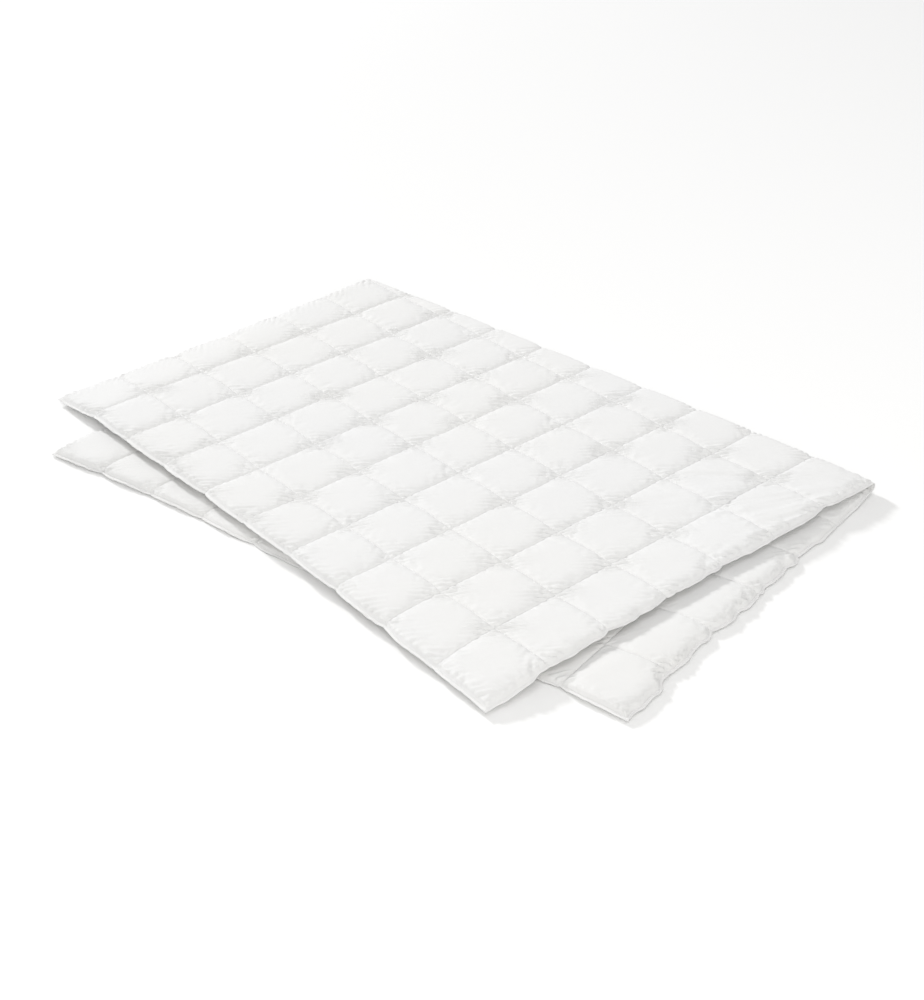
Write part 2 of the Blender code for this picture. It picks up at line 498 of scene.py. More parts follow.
class PuffedBoxes:
    """Simulated shapes of one puffed box, used in turn for every box of the quilt."""

    def __init__(self, recipe: PuffRecipe, side: float) -> None:
        """Keeps the recipe and makes the shapes.

        Args:
            recipe: The cloth and its fill.
            side: Side of a box, in metres.
        """
        self.recipe = recipe
        self.side = side
        self.shapes = self.simulated()

    def starting_grid(self) -> tuple[Grid, Grid]:
        """Places of a box's points from 0 to 1, as two square arrays."""
        share = np.linspace(0.0, 1.0, self.recipe.cells + 1)
        return np.meshgrid(share, share)

    def bumps(self, pattern: int) -> Grid:
        """Small random hills that tell the cloth where to pucker.

        Args:
            pattern: Number of the shape.

        Returns:
            Heights from about -1 to 1, zero along the seams.
        """
        across, along = self.starting_grid()
        seed = self.recipe.seed + 3.7 * pattern
        fine, coarse = self.recipe.fine_hills, self.recipe.coarse_hills
        hills = 0.6 * ripple(across * fine, along * fine, seed)
        hills = hills + 0.7 * ripple(across * coarse, along * coarse, seed + Seed.FILL_HILLS)
        border = np.minimum(np.minimum(across, 1 - across), np.minimum(along, 1 - along))
        return hills * np.clip(border * self.recipe.cells / 3.0, 0.0, 1.0)

    def simulated(self) -> Grid:
        """Blows every pattern up at once with the cloth solver.

        Returns:
            Shape, row, column and direction: how far each point moves, as a share of the box's
            side across and along, and with a mean crown of 1 upwards.
        """
        across, along = self.starting_grid()
        rest, faces, pinned = [], [], []
        border = (across % 1.0 == 0.0) | (along % 1.0 == 0.0)
        for pattern in range(self.recipe.patterns):
            height = self.bumps(pattern) * self.recipe.start_height
            left = pattern * self.side * 1.3
            first = pattern * across.size
            rest.append(np.stack([across * self.side + left, along * self.side, height], axis=-1))
            faces.append(quads_of(*across.shape, first))
            pinned.append(first + np.flatnonzero(border.ravel()))
        points = np.concatenate([part.reshape(-1, 3) for part in rest])
        patch = make_piece("puff_patch", points, np.concatenate(faces), closed=False)
        group = patch.vertex_groups.new(name="seams")
        group.add([int(index) for index in np.concatenate(pinned)], 1.0, "REPLACE")
        self.set_cloth(patch)
        scene = bpy.context.scene
        for step in range(1, self.recipe.steps + 1):
            scene.frame_set(step)
        done = patch.evaluated_get(bpy.context.evaluated_depsgraph_get())
        ends = np.empty(points.size, np.float32)
        done.data.vertices.foreach_get("co", ends)
        moved = ends.reshape(-1, 3).astype(float) - points * (1, 1, 0)
        scene.frame_set(1)
        bpy.data.objects.remove(patch)
        moved = moved.reshape(self.recipe.patterns, *across.shape, 3)
        moved[..., :2] /= self.side
        moved[..., 2] /= moved[..., 2].max(axis=(1, 2)).mean()
        moved[:, border] = 0.0
        return moved

    def set_cloth(self, patch: bpy.types.Object) -> None:
        """Gives the patches their cloth solver and its settings.

        Args:
            patch: The object that holds every patch.
        """
        solver = patch.modifiers.new("fill", "CLOTH")
        cloth = solver.settings
        for name, value in CASING_CLOTH.items():
            setattr(cloth, name, value)
        cloth.bending_stiffness = self.recipe.bending
        cloth.uniform_pressure_force = self.recipe.pressure
        cloth.shrink_min = -self.recipe.growth
        cloth.shrink_max = -self.recipe.growth
        cloth.vertex_group_mass = "seams"
        cloth.effector_weights.gravity = 0.0
        solver.collision_settings.use_collision = False
        solver.point_cache.frame_start = 1
        solver.point_cache.frame_end = self.recipe.steps + 1

    def sample(self, shape: int, turn: int, across: Grid, along: Grid) -> Grid:
        """Reads one shape, turned over or round, at places in a box.

        Args:
            shape: Number of the shape.
            turn: From 0 to 7: mirrored across, mirrored along, and with its sides swapped.
            across: Places from 0 to 1.
            along: Places from 0 to 1.

        Returns:
            Movement across, along and up for each place.
        """
        mirror_x, mirror_y, swap = turn & 1, turn & 2, turn & 4
        column = 1.0 - across if mirror_x else across
        row = 1.0 - along if mirror_y else along
        if swap:
            column, row = row, column
        cells = self.recipe.cells
        column, row = column * cells, row * cells
        left = np.clip(np.floor(column).astype(int), 0, cells - 1)
        near = np.clip(np.floor(row).astype(int), 0, cells - 1)
        part_x, part_y = (column - left)[..., None], (row - near)[..., None]
        grid = self.shapes[shape % self.recipe.patterns]
        moved = (
            grid[near, left] * (1 - part_x) * (1 - part_y)
            + grid[near, left + 1] * part_x * (1 - part_y)
            + grid[near + 1, left] * (1 - part_x) * part_y
            + grid[near + 1, left + 1] * part_x * part_y
        )
        if swap:
            moved = moved[..., [1, 0, 2]]
        return moved * (-1.0 if mirror_x else 1.0, -1.0 if mirror_y else 1.0, 1.0)


@dataclass(frozen=True)
class Puckers:
    """Sizes of the small folds that cross the boxes, in metres."""

    spacing: float = 0.0115
    path_bend: float = 3.0
    path_run: float = 0.12
    path_side: float = 0.07
    reach: float = 0.085
    side_span: float = 0.04
    patch_span: float = 0.09
    lean: float = 0.62
    height: float = 0.0054
    crossing_run: float = 0.084
    crossing_side: float = 0.034
    ground: float = 0.09
    beside: float = 0.55
    beside_reach: float = 0.016
    flatten: float = 2.0
    rise: float = 0.0034
    rise_reach: float = 0.0022
    rim_height: float = 0.0038
    rim_spacing: float = 0.018
    rim_slant: float = 0.8
    rim_reach: float = 0.024
    rim_path_span: float = 0.03
    rim_strength_span: float = 0.045
    rim_reach_span: float = 0.02
    fan_height: float = 0.0022
    fan_spacing: float = 0.062
    fan_reach: float = 0.62
    fan_run: float = 0.17
    fan_detail_run: float = 0.11


@dataclass
class QuiltSurface:
    """The two plies of the flat quilt: how high each stands off the middle at any place."""

    cut: QuiltCut
    boxes: PuffedBoxes
    puckers: Puckers = field(default_factory=Puckers)
    corner_crown: float = 1.45
    seed: int = 20

    def __post_init__(self) -> None:
        """Draws each box's shape, turn and crown once, ply by ply."""
        draw = np.random.default_rng(self.seed)
        size = (2, self.cut.boxes_along, self.cut.boxes_across)
        self.shape_of = draw.integers(0, 64, size)
        self.turn_of = draw.integers(0, 8, size)
        self.crown_of = draw.uniform(0.78, 1.16, size)
        self.crown_of[0, 0, 0] = self.corner_crown

    def puff(self, ply: int, column: Grid, row: Grid, across: Grid, along: Grid) -> Grid:
        """Movement of every point by the puffed box that it is in.

        Args:
            ply: 0 for the outer ply, 1 for the inner one.
            column: Each point's box across.
            row: Each point's box along.
            across: Each point's place in its box, from 0 to 1.
            along: Each point's place in its box, from 0 to 1.

        Returns:
            Movement across, along and up in metres.
        """
        moved = np.zeros((*column.shape, 3))
        scale = (self.cut.box_width, self.cut.box_length, self.cut.crown)
        for box_row in range(self.cut.boxes_along):
            for box_column in range(self.cut.boxes_across):
                inside = (column == box_column) & (row == box_row)
                if not inside.any():
                    continue
                where = (ply, box_row, box_column)
                found = self.boxes.sample(
                    int(self.shape_of[where]), int(self.turn_of[where]), across[inside], along[inside]
                )
                short = 1.0 - found[:, 2]
                found[:, 2] = 1.0 - np.sign(short) * np.abs(short) ** self.puckers.flatten
                moved[inside] = found * scale * (0.5, 0.5, self.crown_of[where])
        return moved

    def near_crossing(self, ply: int, box_x: Grid, box_y: Grid) -> Grid:
        """How much of the slanting folds that leave each seam crossing is left at any place.

        Args:
            ply: 0 for the outer ply, 1 for the inner one.
            box_x: Places across their boxes, from 0 to 1.
            box_y: Places along their boxes in the quilt's own direction, from 0 to 1.

        Returns:
            Shares from 0 to 1.
        """
        size = self.puckers
        lean = size.lean if ply == OUTER_PLY else -size.lean
        off_x, off_y = box_x - np.round(box_x), box_y - np.round(box_y)
        window = (1 - (2 * off_x) ** 4) * (1 - (2 * off_y) ** 4)
        off_x, off_y = off_x * self.cut.box_width, off_y * self.cut.box_length
        run = off_x * np.sin(lean) - off_y * np.cos(lean)
        side = off_x * np.cos(lean) + off_y * np.sin(lean)
        return window * np.exp(-((run / size.crossing_run) ** 2) - (side / size.crossing_side) ** 2)

    def fine_folds(self, ply: int, across: Grid, along: Grid, near: Grid, to_long: Grid) -> Grid:
        """Small slanting folds, strongest round the seam crossings.

        Args:
            ply: 0 for the outer ply, 1 for the inner one.
            across: Places on the flat quilt, in metres.
            along: Places on the flat quilt, in metres.
            near: Shares from near_crossing().
            to_long: Distance to the nearest lengthwise seam, in metres.

        Returns:
            Heights in metres.
        """
        size = self.puckers
        lean = size.lean if ply == OUTER_PLY else -size.lean
        run = across * np.sin(lean) - along * np.cos(lean)
        side = across * np.cos(lean) + along * np.sin(lean)
        path = ripple(run / size.path_run, side / size.path_side, Seed.FOLD_PATH + ply)
        phase = 2 * math.pi * side / size.spacing + size.path_bend * path
        lobes = np.abs(np.sin(phase / 2)) - 2 / math.pi
        strength = ripple(run / size.reach, side / size.side_span, Seed.FOLD_STRENGTH + ply)
        folds = lobes * (0.8 + 0.5 * strength)
        patch = 0.5 + 0.5 * ripple(across / size.patch_span, along / size.patch_span, Seed.FOLD_PATCH + ply)
        beside = size.beside * patch * np.exp(-to_long / size.beside_reach)
        return size.height * folds * (size.ground * patch + beside + near * (0.4 + 0.7 * patch))


# ---------------------------------------------------------------- a folded leaf


@dataclass(frozen=True)
class Pull:
    """A stretch of an edge that the stitching draws in."""

    edge: Edge
    centre: float
    spread: float
    depth: float


@dataclass
class QuiltLeaf:
    """One leaf of the folded quilt: both plies, from the fold to the free edge.

    Every length is in metres. A field that ends in reach or span is how far its effect goes.
    """

    which: Leaf
    cut: QuiltCut
    surface: QuiltSurface
    fold_start: Vector
    middle: float
    cells: int
    pulls: tuple[Pull, ...] = ()
    bow: float = 0.004
    scallop: float = 0.0085
    edge_droop: float = 0.0065
    overhang: float = 0.011
    seam_lift: float = 0.0028
    unsewn: float = 0.003
    fold_ease: float = 0.10
    gather: float = 0.5
    ruffle: float = 0.0035
    edge_bulge: float = 0.0042
    press: float = 0.0026
    flattened: float = 0.5
    fold_gap: float = 0.0004
    press_reach: float = 0.04
    press_inset: float = 0.015
    pull_reach: float = 0.13
    scallop_reach: float = 0.028
    scallop_point: float = 0.6
    uneven_span: float = 0.11
    ruffle_span: float = 0.026
    upper_droop_reach: float = 0.035
    lower_droop_reach: float = 0.022
    lift_reach: float = 0.026
    swell: float = 0.0018
    swell_across: float = 0.27
    swell_along: float = 0.24
    wander: float = 0.0013
    wander_long: float = 0.06
    wander_short: float = 0.05
    bulge_reach: float = 0.035
    rim_ease: float = 0.006
    settled_share: float = 1.25
    clearance: float = 0.0002
    contact_ease: float = 0.0004
    floor_ease: float = 0.0003
    least_half: float = 0.0005
    free_rise: float = 0.004
    open_puff: float = 0.12
    rim_pinch: float = 0.85
    pinch_reach: float = 0.05
    fold_band: float = 0.02
    hang_band: tuple[float, float] = (-0.02, 0.08)
    overhang_band: tuple[float, float] = (-0.03, 0.16)
    cover_band: tuple[float, float] = (-0.005, 0.045)
    covered_band: tuple[float, float] = (-0.03, 0.01)

    def __post_init__(self) -> None:
        """Lays out the leaf's grid of points on the flat quilt."""
        cut, cells = self.cut, self.cells
        seams = cut.lengthwise_seams()
        step = np.arange(cut.boxes_across * cells + 1)
        column = np.minimum(step // cells, cut.boxes_across - 1)
        share = self.gathered((step - column * cells) / cells)
        across = seams[column] + share * (seams[column + 1] - seams[column])
        line = np.arange((cut.fold_box + 1) * cells + 1)
        row = np.minimum(line // cells, cut.fold_box)
        part = self.gathered((line - row * cells) / cells)
        self.across, self.row = np.meshgrid(across, row)
        self.column, part = np.meshgrid(column, part)
        self.box_x = np.meshgrid(share, line)[0]
        slope = self.across / cut.width
        taper = 1.0 - slope if self.is_upper else slope
        self.box_y = np.where(self.row == cut.fold_box, part * taper, part)
        first = np.where(self.row == 0, cut.hem / cut.box_length * (1.0 - part), 0.0)
        self.from_free = (self.row + self.box_y + first) * cut.box_length
        self.to_fold = (cut.fold_box + taper) * cut.box_length - self.from_free
        self.free_reach = (cut.fold_box + (1 if self.is_upper else 0)) * cut.box_length

    def gathered(self, share: Grid) -> Grid:
        """Sets places in a box closer together near its seams.

        Args:
            share: Even places from 0 to 1.

        Returns:
            Places from 0 to 1, crowded at both ends.
        """
        return share - self.gather * np.sin(2 * math.pi * share) / (2 * math.pi)

    @property
    def is_upper(self) -> bool:
        """Whether this is the leaf that lies on top."""
        return self.which is Leaf.UPPER

    @property
    def turn(self) -> float:
        """The leaf's angle about the vertical, in radians."""
        return -self.cut.slant if self.is_upper else self.cut.slant

    @property
    def flat_along(self) -> Grid:
        """Each point's place along the flat quilt, from the head edge, in metres."""
        return self.from_free if self.is_upper else self.cut.length - self.from_free

    def to_row(self, across: Grid, outward: Grid) -> tuple[Grid, Grid]:
        """Turns the leaf's own places into the shared frame.

        Args:
            across: Distance from the left edge.
            outward: Distance from the fold's start, square to that.

        Returns:
            x and y in metres.
        """
        cos, sin = math.cos(self.turn), math.sin(self.turn)
        place_x = self.fold_start.x + across * cos - outward * sin
        place_y = self.fold_start.y + across * sin + outward * cos
        return place_x, place_y

    def inset_of(self, place_x: Grid, place_y: Grid) -> Grid:
        """How far places in the shared frame lie inside this leaf's outline.

        Args:
            place_x: x in metres.
            place_y: y in metres.

        Returns:
            Distance to the nearest of the left, right and free edges, negative outside.
        """
        cos, sin = math.cos(self.turn), math.sin(self.turn)
        side = (place_x - self.fold_start.x) * cos + (place_y - self.fold_start.y) * sin
        outward = -(place_x - self.fold_start.x) * sin + (place_y - self.fold_start.y) * cos
        return np.minimum(np.minimum(side, self.cut.width - side), self.free_reach - outward)

    def draw_in(self) -> tuple[Grid, Grid]:
        """How far the stitching draws each point in from the edges.

        Returns:
            Movement across and movement towards the fold, in metres.
        """
        cut = self.cut
        right = cut.width - self.across
        still = np.zeros_like(right)
        at_cross = 1.0 - np.abs(np.sin(math.pi * self.box_y)) ** self.scallop_point
        at_cross = at_cross * (self.from_free > cut.box_length / 3)
        at_long = 1.0 - np.abs(np.sin(math.pi * self.box_x)) ** self.scallop_point
        at_long = at_long * (self.across > cut.box_width / 2) * (right > cut.box_width / 2)
        span = self.from_free + self.to_fold
        side_bow = self.bow * np.sin(math.pi * self.from_free / span)
        reach, close = self.pull_reach, self.scallop_reach
        uneven = ripple(self.from_free / self.uneven_span, still, Seed.UNEVEN_SIDE)
        at_cross = at_cross * (1.0 + 0.55 * uneven)
        uneven = ripple(self.across / self.uneven_span, still, Seed.UNEVEN_FREE)
        at_long = at_long * (1.0 + 0.5 * uneven)
        at_left = np.exp(-self.across / close)
        left_pull = side_bow * np.exp(-self.across / reach) + self.scallop * at_cross * at_left
        ruffled = ripple(self.from_free / self.ruffle_span, still, Seed.RUFFLE)
        left_pull = left_pull + self.ruffle * ruffled * at_left
        right_pull = side_bow * np.exp(-right / reach) + self.scallop * at_cross * np.exp(-right / close)
        free_bow = self.bow * np.sin(math.pi * self.across / cut.width)
        free_pull = free_bow * np.exp(-self.from_free / reach)
        free_pull = free_pull + self.scallop * at_long * np.exp(-self.from_free / close)
        for pull in self.pulls:
            if pull.edge is Edge.FREE:
                bell = np.exp(-(((self.across - pull.centre) / pull.spread) ** 2))
                free_pull = free_pull + pull.depth * bell * np.exp(-self.from_free / reach)
            else:
                bell = np.exp(-(((self.from_free - pull.centre) / pull.spread) ** 2))
                side = self.across if pull.edge is Edge.LEFT else right
                extra = pull.depth * bell * np.exp(-side / reach)
                if pull.edge is Edge.LEFT:
                    left_pull = left_pull + extra
                else:
                    right_pull = right_pull + extra
        return left_pull - right_pull, free_pull

    def seam_distances(self) -> tuple[Grid, Grid]:
        """Distance of each point to the nearest lengthwise and the nearest cross seam, in metres."""
        to_long = np.minimum(self.box_x, 1 - self.box_x) * self.cut.box_width
        to_cross = np.minimum(self.box_y, 1 - self.box_y) * self.cut.box_length
        return to_long, to_cross

    def middle_heights(self, other: "QuiltLeaf", place_x: Grid, place_y: Grid) -> Grid:
        """Height of the sheet half way between its plies.

        Args:
            other: The leaf that this one lies on or under.
            place_x: x of each point.
            place_y: y of each point.

        Returns:
            Heights in metres.
        """
        cut = self.cut
        inset = np.minimum(np.minimum(self.across, cut.width - self.across), self.from_free)
        _, to_cross = self.seam_distances()
        lift = self.seam_lift * np.sin(math.pi * self.box_x) ** 2
        lift = lift * np.exp(-((to_cross / self.lift_reach) ** 2))
        swollen = (self.across / self.swell_across, self.flat_along / self.swell_along)
        wave = self.swell * ripple(*swollen, Seed.SWELL)
        if self.is_upper:
            beyond = -other.inset_of(place_x, place_y)
            hanging = smoothstep(beyond, *self.hang_band)
            droop = self.edge_droop * hanging * np.exp(-inset / self.upper_droop_reach)
            change = wave + lift - droop - self.overhang * smoothstep(beyond, *self.overhang_band)
        else:
            change = 0.5 * wave + lift - self.edge_droop * np.exp(-inset / self.lower_droop_reach)
            change = change - self.press * self.pressed(other, place_x, place_y)
        return self.middle + change * smoothstep(self.to_fold, 0.0, self.fold_ease)

    def fan_of_folds(self) -> Grid:
        """Long folds that run to the near end of the fold, as heights in metres."""
        size = self.surface.puckers
        away = np.hypot(self.across + 0.02, self.to_fold + 0.01)
        angle = np.arctan2(self.across + 0.02, self.to_fold + 0.01)
        rays = ripple(angle / size.fan_spacing, away / size.fan_run, Seed.FAN)
        detail = ripple(angle / size.fan_spacing * 2.1, away / size.fan_detail_run, Seed.FAN_DETAIL)
        rays = rays + 0.45 * detail
        window = smoothstep(away, 0.05, 0.20) * (1 - smoothstep(away, 0.32, size.fan_reach))
        sector = smoothstep(angle, 0.02, 0.16) * (1 - smoothstep(angle, 1.0, 1.35))
        return size.fan_height * rays * window * sector

    def rim_folds(self, ply: int, edge_in: Grid) -> Grid:
        """Short folds that the hem gathers, square to the leaf's edges.

        Args:
            ply: 0 for the outer ply, 1 for the inner one.
            edge_in: Distance of each point from the hem line, in metres.

        Returns:
            Heights in metres.
        """
        size = self.surface.puckers
        right = self.cut.width - self.across
        beside_free = self.from_free <= np.minimum(self.across, right)
        travelled = np.where(beside_free, self.across, self.from_free)
        still = np.zeros_like(travelled)
        wobble = ripple(travelled / size.rim_path_span, edge_in / 0.02, Seed.RIM_PATH + ply)
        phase = 2 * math.pi * (travelled + size.rim_slant * edge_in) / size.rim_spacing
        phase = phase + size.path_bend * wobble
        uneven = ripple(travelled / size.rim_strength_span, still, Seed.RIM_STRENGTH + ply)
        strength = 0.35 + 0.9 * np.abs(uneven)
        longer = ripple(travelled / size.rim_reach_span, still, Seed.RIM_REACH + ply)
        reach = size.rim_reach * (1.0 + 0.5 * longer)
        lobes = 2 * np.abs(np.sin(phase / 2)) - 4 / math.pi
        return size.rim_height * strength * lobes * np.exp(-edge_in / reach)

    def build(self, other: "QuiltLeaf") -> None:
        """Works out where both plies lie.

        Args:
            other: The leaf that this one lies on or under.
        """
        cut = self.cut
        along_sign = 1.0 if self.is_upper else -1.0
        physical_row = self.row if self.is_upper else cut.boxes_along - 1 - self.row
        physical_y = self.box_y if self.is_upper else 1.0 - self.box_y
        ease = smoothstep(self.to_fold, 0.0, self.fold_ease)
        shift_x, shift_free = self.draw_in()
        far, near = self.wander_long, self.wander_short
        wander = self.wander * ripple(self.across / far, self.flat_along / near, Seed.WANDER)
        sway = self.wander * ripple(self.across / near, self.flat_along / far, Seed.SWAY)
        across = self.across + (shift_x + wander) * ease
        outward = self.free_reach - self.from_free - (shift_free + sway) * ease + self.fold_gap * (1 - ease)
        to_long, to_cross = self.seam_distances()
        place_x, place_y = self.to_row(across, outward)
        middle = self.middle_heights(other, place_x, place_y)
        border = smoothstep(np.minimum(to_long, to_cross), 0.0, 0.004)
        edge_in = np.minimum(np.minimum(self.across, cut.width - self.across), self.from_free) - cut.hem
        self.edge_in = edge_in
        pinch = 1 - np.exp(-np.maximum(to_long, to_cross) / 0.010)
        bulge = self.edge_bulge * pinch * (1 - np.exp(-edge_in / self.rim_ease))
        bulge = bulge * np.exp(-edge_in / self.bulge_reach) * ease
        hemmed = smoothstep(edge_in, 0.0, self.rim_ease)
        self.plies, self.crossing_marks = [], []
        self.middles = np.stack([place_x, place_y, middle], axis=-1)
        for ply in (OUTER_PLY, INNER_PLY):
            moved = self.surface.puff(ply, self.column, physical_row, self.box_x, physical_y)
            near = self.surface.near_crossing(ply, self.box_x, physical_y)
            self.crossing_marks.append(near * hemmed)
            folds = self.surface.fine_folds(ply, self.across, self.flat_along, near, to_long)
            if self.is_upper and ply == OUTER_PLY:
                folds = folds + self.fan_of_folds()
            folds = (folds + self.rim_folds(ply, edge_in)) * hemmed
            rise = self.surface.puckers.rise
            steep = self.surface.puckers.rise_reach
            shoulder = rise * (1 - np.exp(-to_long / steep)) * (1 - 0.6 * np.exp(-to_cross / steep))
            height = cut.seam_half + shoulder + moved[..., 2] + folds * (0.35 + 0.65 * border)
            height = height + (bulge if (ply == OUTER_PLY) == self.is_upper else 0.0)
            height = np.maximum(height, 0.6 * cut.seam_half)
            height = cut.seam_half + (height - cut.seam_half) * hemmed
            side = across + moved[..., 0] * ease
            out = outward - along_sign * moved[..., 1] * ease
            ply_x, ply_y = self.to_row(side, out)
            ply_z = self.settle(ply, middle, height, other, ply_x, ply_y)
            self.plies.append(np.stack([ply_x, ply_y, ply_z], axis=-1))
        # How near each point lies to a seam; the materials use it to paint shade into the seam grooves.
        self.seam_shade_mark = np.exp(-np.minimum(to_long, 3 * to_cross + 0.004) / 0.006)

    def pressed(self, other: "QuiltLeaf", place_x: Grid, place_y: Grid) -> Grid:
        """How much the edge of the leaf on top weighs on this one.

        Args:
            other: The leaf on top.
            place_x: x of each point.
            place_y: y of each point.

        Returns:
            Shares from 0 to 1.
        """
        inside = other.inset_of(place_x, place_y) - self.press_inset
        return np.exp(-((inside / self.press_reach) ** 2)) * smoothstep(self.to_fold, 0.0, self.fold_ease)

    def settle(
        self, ply: int, middle: Grid, height: Grid, other: "QuiltLeaf", place_x: Grid, place_y: Grid
    ) -> Grid:
        """Lets a ply stand off the middle, and flattens it where it meets the floor or the other leaf.

        Args:
            ply: 0 for the outer ply, 1 for the inner one.
            middle: Height of the sheet's middle.
            height: How far the ply stands off it.
            other: The other leaf.
            place_x: x of each point.
            place_y: y of each point.

        Returns:
            Heights in metres.
        """
        hinge = self.fold_start.z
        if self.is_upper and ply == OUTER_PLY:
            return middle + height
        if self.is_upper:
            outside = -other.inset_of(place_x, place_y)
            covering = 1 - smoothstep(outside, *self.cover_band)
            lowest, ease = (hinge + self.clearance) * covering, self.contact_ease
            pinched = self.rim_pinch * np.exp(-((self.edge_in / self.pinch_reach) ** 2))
            height = height * (1 - covering * pinched)
        elif ply == OUTER_PLY:
            lowest, ease = 0.0, self.floor_ease
        else:
            covered = smoothstep(other.inset_of(place_x, place_y), *self.covered_band)
            near_fold = 1 - smoothstep(self.to_fold, 0.0, self.fold_band)
            highest = hinge - self.clearance + self.free_rise * (1 - covered) * (1 - near_fold)
            height = height * (1 - self.flattened * self.pressed(other, place_x, place_y))
            standing = middle + height * (1 + self.open_puff * (1 - near_fold))
            return soft_ceiling(standing, highest, self.contact_ease)
        resting = soft_floor(middle - self.settled_share * height, lowest, ease)
        return np.minimum(resting, middle - self.least_half)

    def piece(self, finishes: tuple[bpy.types.Material, bpy.types.Material]) -> bpy.types.Object:
        """Makes the leaf's closed, puffed cover.

        Args:
            finishes: Materials of the outer and the inner ply.

        Returns:
            The new object.
        """
        count = self.across.size
        points = np.concatenate([ply.reshape(-1, 3) for ply in self.plies])
        flat = np.stack([self.across.ravel(), self.flat_along.ravel()], axis=-1)
        inner = np.concatenate([np.zeros(count), np.ones(count)])
        marks = {
            "seam_shade_mark": np.tile(self.seam_shade_mark.ravel(), 2),
            "crossing_mark": np.concatenate([mark.ravel() for mark in self.crossing_marks]),
            "inner_ply": inner,
        }
        name = f"{self.which.value}_quilted_boxes"
        made = make_piece(name, points, sheet_faces(*self.across.shape), np.tile(flat, (2, 1)), marks, WELD)
        for finish in finishes:
            made.data.materials.append(finish)
        values = np.empty(len(made.data.vertices), np.float32)
        made.data.attributes["inner_ply"].data.foreach_get("value", values)
        corners = np.empty(len(made.data.loops), np.int32)
        made.data.loops.foreach_get("vertex_index", corners)
        starts = np.empty(len(made.data.polygons), np.int32)
        made.data.polygons.foreach_get("loop_start", starts)
        made.data.polygons.foreach_set("material_index", (values[corners[starts]] > 0.5).astype(np.int32))
        return made

    def hem_line(self, edge: Edge) -> Grid:
        """The line where the boxes end and the flat hem starts.

        Args:
            edge: Which edge.

        Returns:
            Points from the fold to the free edge, or from left to right.
        """
        if edge is Edge.FREE:
            return self.middles[0]
        return self.middles[::-1, 0] if edge is Edge.LEFT else self.middles[::-1, -1]

    def seam_lines(self, ply: int) -> list[Grid]:
        """The lines that the quilting thread follows on one ply.

        Args:
            ply: 0 for the outer ply, 1 for the inner one.

        Returns:
            Lines of points, lengthwise seams first.
        """
        grid, sewn = self.plies[ply], self.to_fold > self.unsewn
        lines = [(slice(None), column * self.cells) for column in range(1, self.cut.boxes_across)]
        lines += [(row * self.cells, slice(None)) for row in range(1, self.cut.fold_box + 1)]
        return [grid[line][sewn[line]] for line in lines]


# ---------------------------------------------------------------- hems, fold and thread


@dataclass(frozen=True)
class HemCloth:
    """The turned-in, topstitched edge of the quilt."""

    width: float = 0.005
    half: float = 0.0008
    tuck: float = 0.0012
    wave: float = 0.0018
    fall: float = 0.0012
    spacing: float = 0.013
    stitch_line: float = 0.002
    unevenness: float = 0.0006
    profile: Profile = ((0.12, 1.0), (0.3, 0.8), (0.6, 1.0), (0.93, 0.95), (1.0, 0.35))
    turn_profile: Profile = ((0.3, 0.85), (0.93, 0.9), (1.0, 0.3))

    def outward_of(self, line: Grid, away_from: Grid) -> Grid:
        """Level directions that point out of the quilt along a hem line.

        Args:
            line: Points of the hem line.
            away_from: A point well inside the leaf.

        Returns:
            One unit direction for each point.
        """
        run = np.gradient(line[:, :2], axis=0)
        smooth = np.ones(9) / 9.0
        run = np.stack([np.convolve(np.pad(run[:, k], 4, "edge"), smooth, "valid") for k in (0, 1)], axis=-1)
        side = np.stack([run[:, 1], -run[:, 0]], axis=-1)
        side /= np.linalg.norm(side, axis=1, keepdims=True)
        outward = line[:, :2].mean(axis=0) - away_from[:2]
        return side * np.sign((side.mean(axis=0) * outward).sum())

    def rim(self, line: Grid, side: Grid, share: float, seed: float, calm: Grid) -> Grid:
        """The points at one share of the hem's width.

        Args:
            line: Points of the hem line.
            side: Outward directions.
            share: 0 at the hem line, 1 at the edge.
            seed: Picks the puckers.
            calm: From 0, flat, to 1, fully puckered, for each point.

        Returns:
            Points half way through the hem's thickness.
        """
        travelled = np.concatenate([[0.0], np.cumsum(np.linalg.norm(np.diff(line, axis=0), axis=1))])
        pucker = ripple(travelled / self.spacing, 0.0 * travelled, seed)
        pucker = pucker + 0.5 * ripple(travelled / self.spacing * 2.3, 0.0 * travelled, seed + 9)
        width = self.width * share + self.unevenness * pucker * share * calm
        points = line.copy()
        points[:, :2] += side * width[:, None]
        points[:, 2] += (self.wave * pucker - self.fall) * max(share, 0.0) ** 1.3 * calm
        points[:, 2] = soft_floor(points[:, 2], self.half, 0.0004)
        return points

    def band(
        self, name: str, line: Grid, away_from: Grid, seed: float, calm: Grid, cloth_start: float
    ) -> tuple[bpy.types.Object, Grid]:
        """Makes the closed band of one hem.

        Args:
            name: The piece's name.
            line: Points of the hem line.
            away_from: A point well inside the leaf.
            seed: Picks the puckers.
            calm: From 0, flat, to 1, fully puckered, for each point.
            cloth_start: Where the weave starts, in metres.

        Returns:
            The new object, and the line of its topstitching.
        """
        side = self.outward_of(line, away_from)
        shares, halves = zip((-self.tuck / self.width, 0.75), *self.profile, strict=True)
        rims = [self.rim(line, side, share, seed, calm) for share in shares]
        upper = [rim + (0, 0, self.half * half) for rim, half in zip(rims, halves, strict=True)]
        lower = [rim - (0, 0, self.half * half) for rim, half in zip(rims, halves, strict=True)]
        ring = np.stack(upper + lower[::-1])
        travelled = np.linspace(0.0, np.linalg.norm(np.diff(line, axis=0), axis=1).sum(), len(line))
        across = np.array([*shares, *shares[::-1]]) * self.width
        flat = np.stack(np.meshgrid(travelled + cloth_start, across), axis=-1).reshape(-1, 2)
        made = make_piece(name, ring.reshape(-1, 3), band_faces(*ring.shape[:2]), flat)
        stitched = self.rim(line, side, self.stitch_line / self.width, seed, calm)
        return made, stitched + (0, 0, self.half * 0.95)


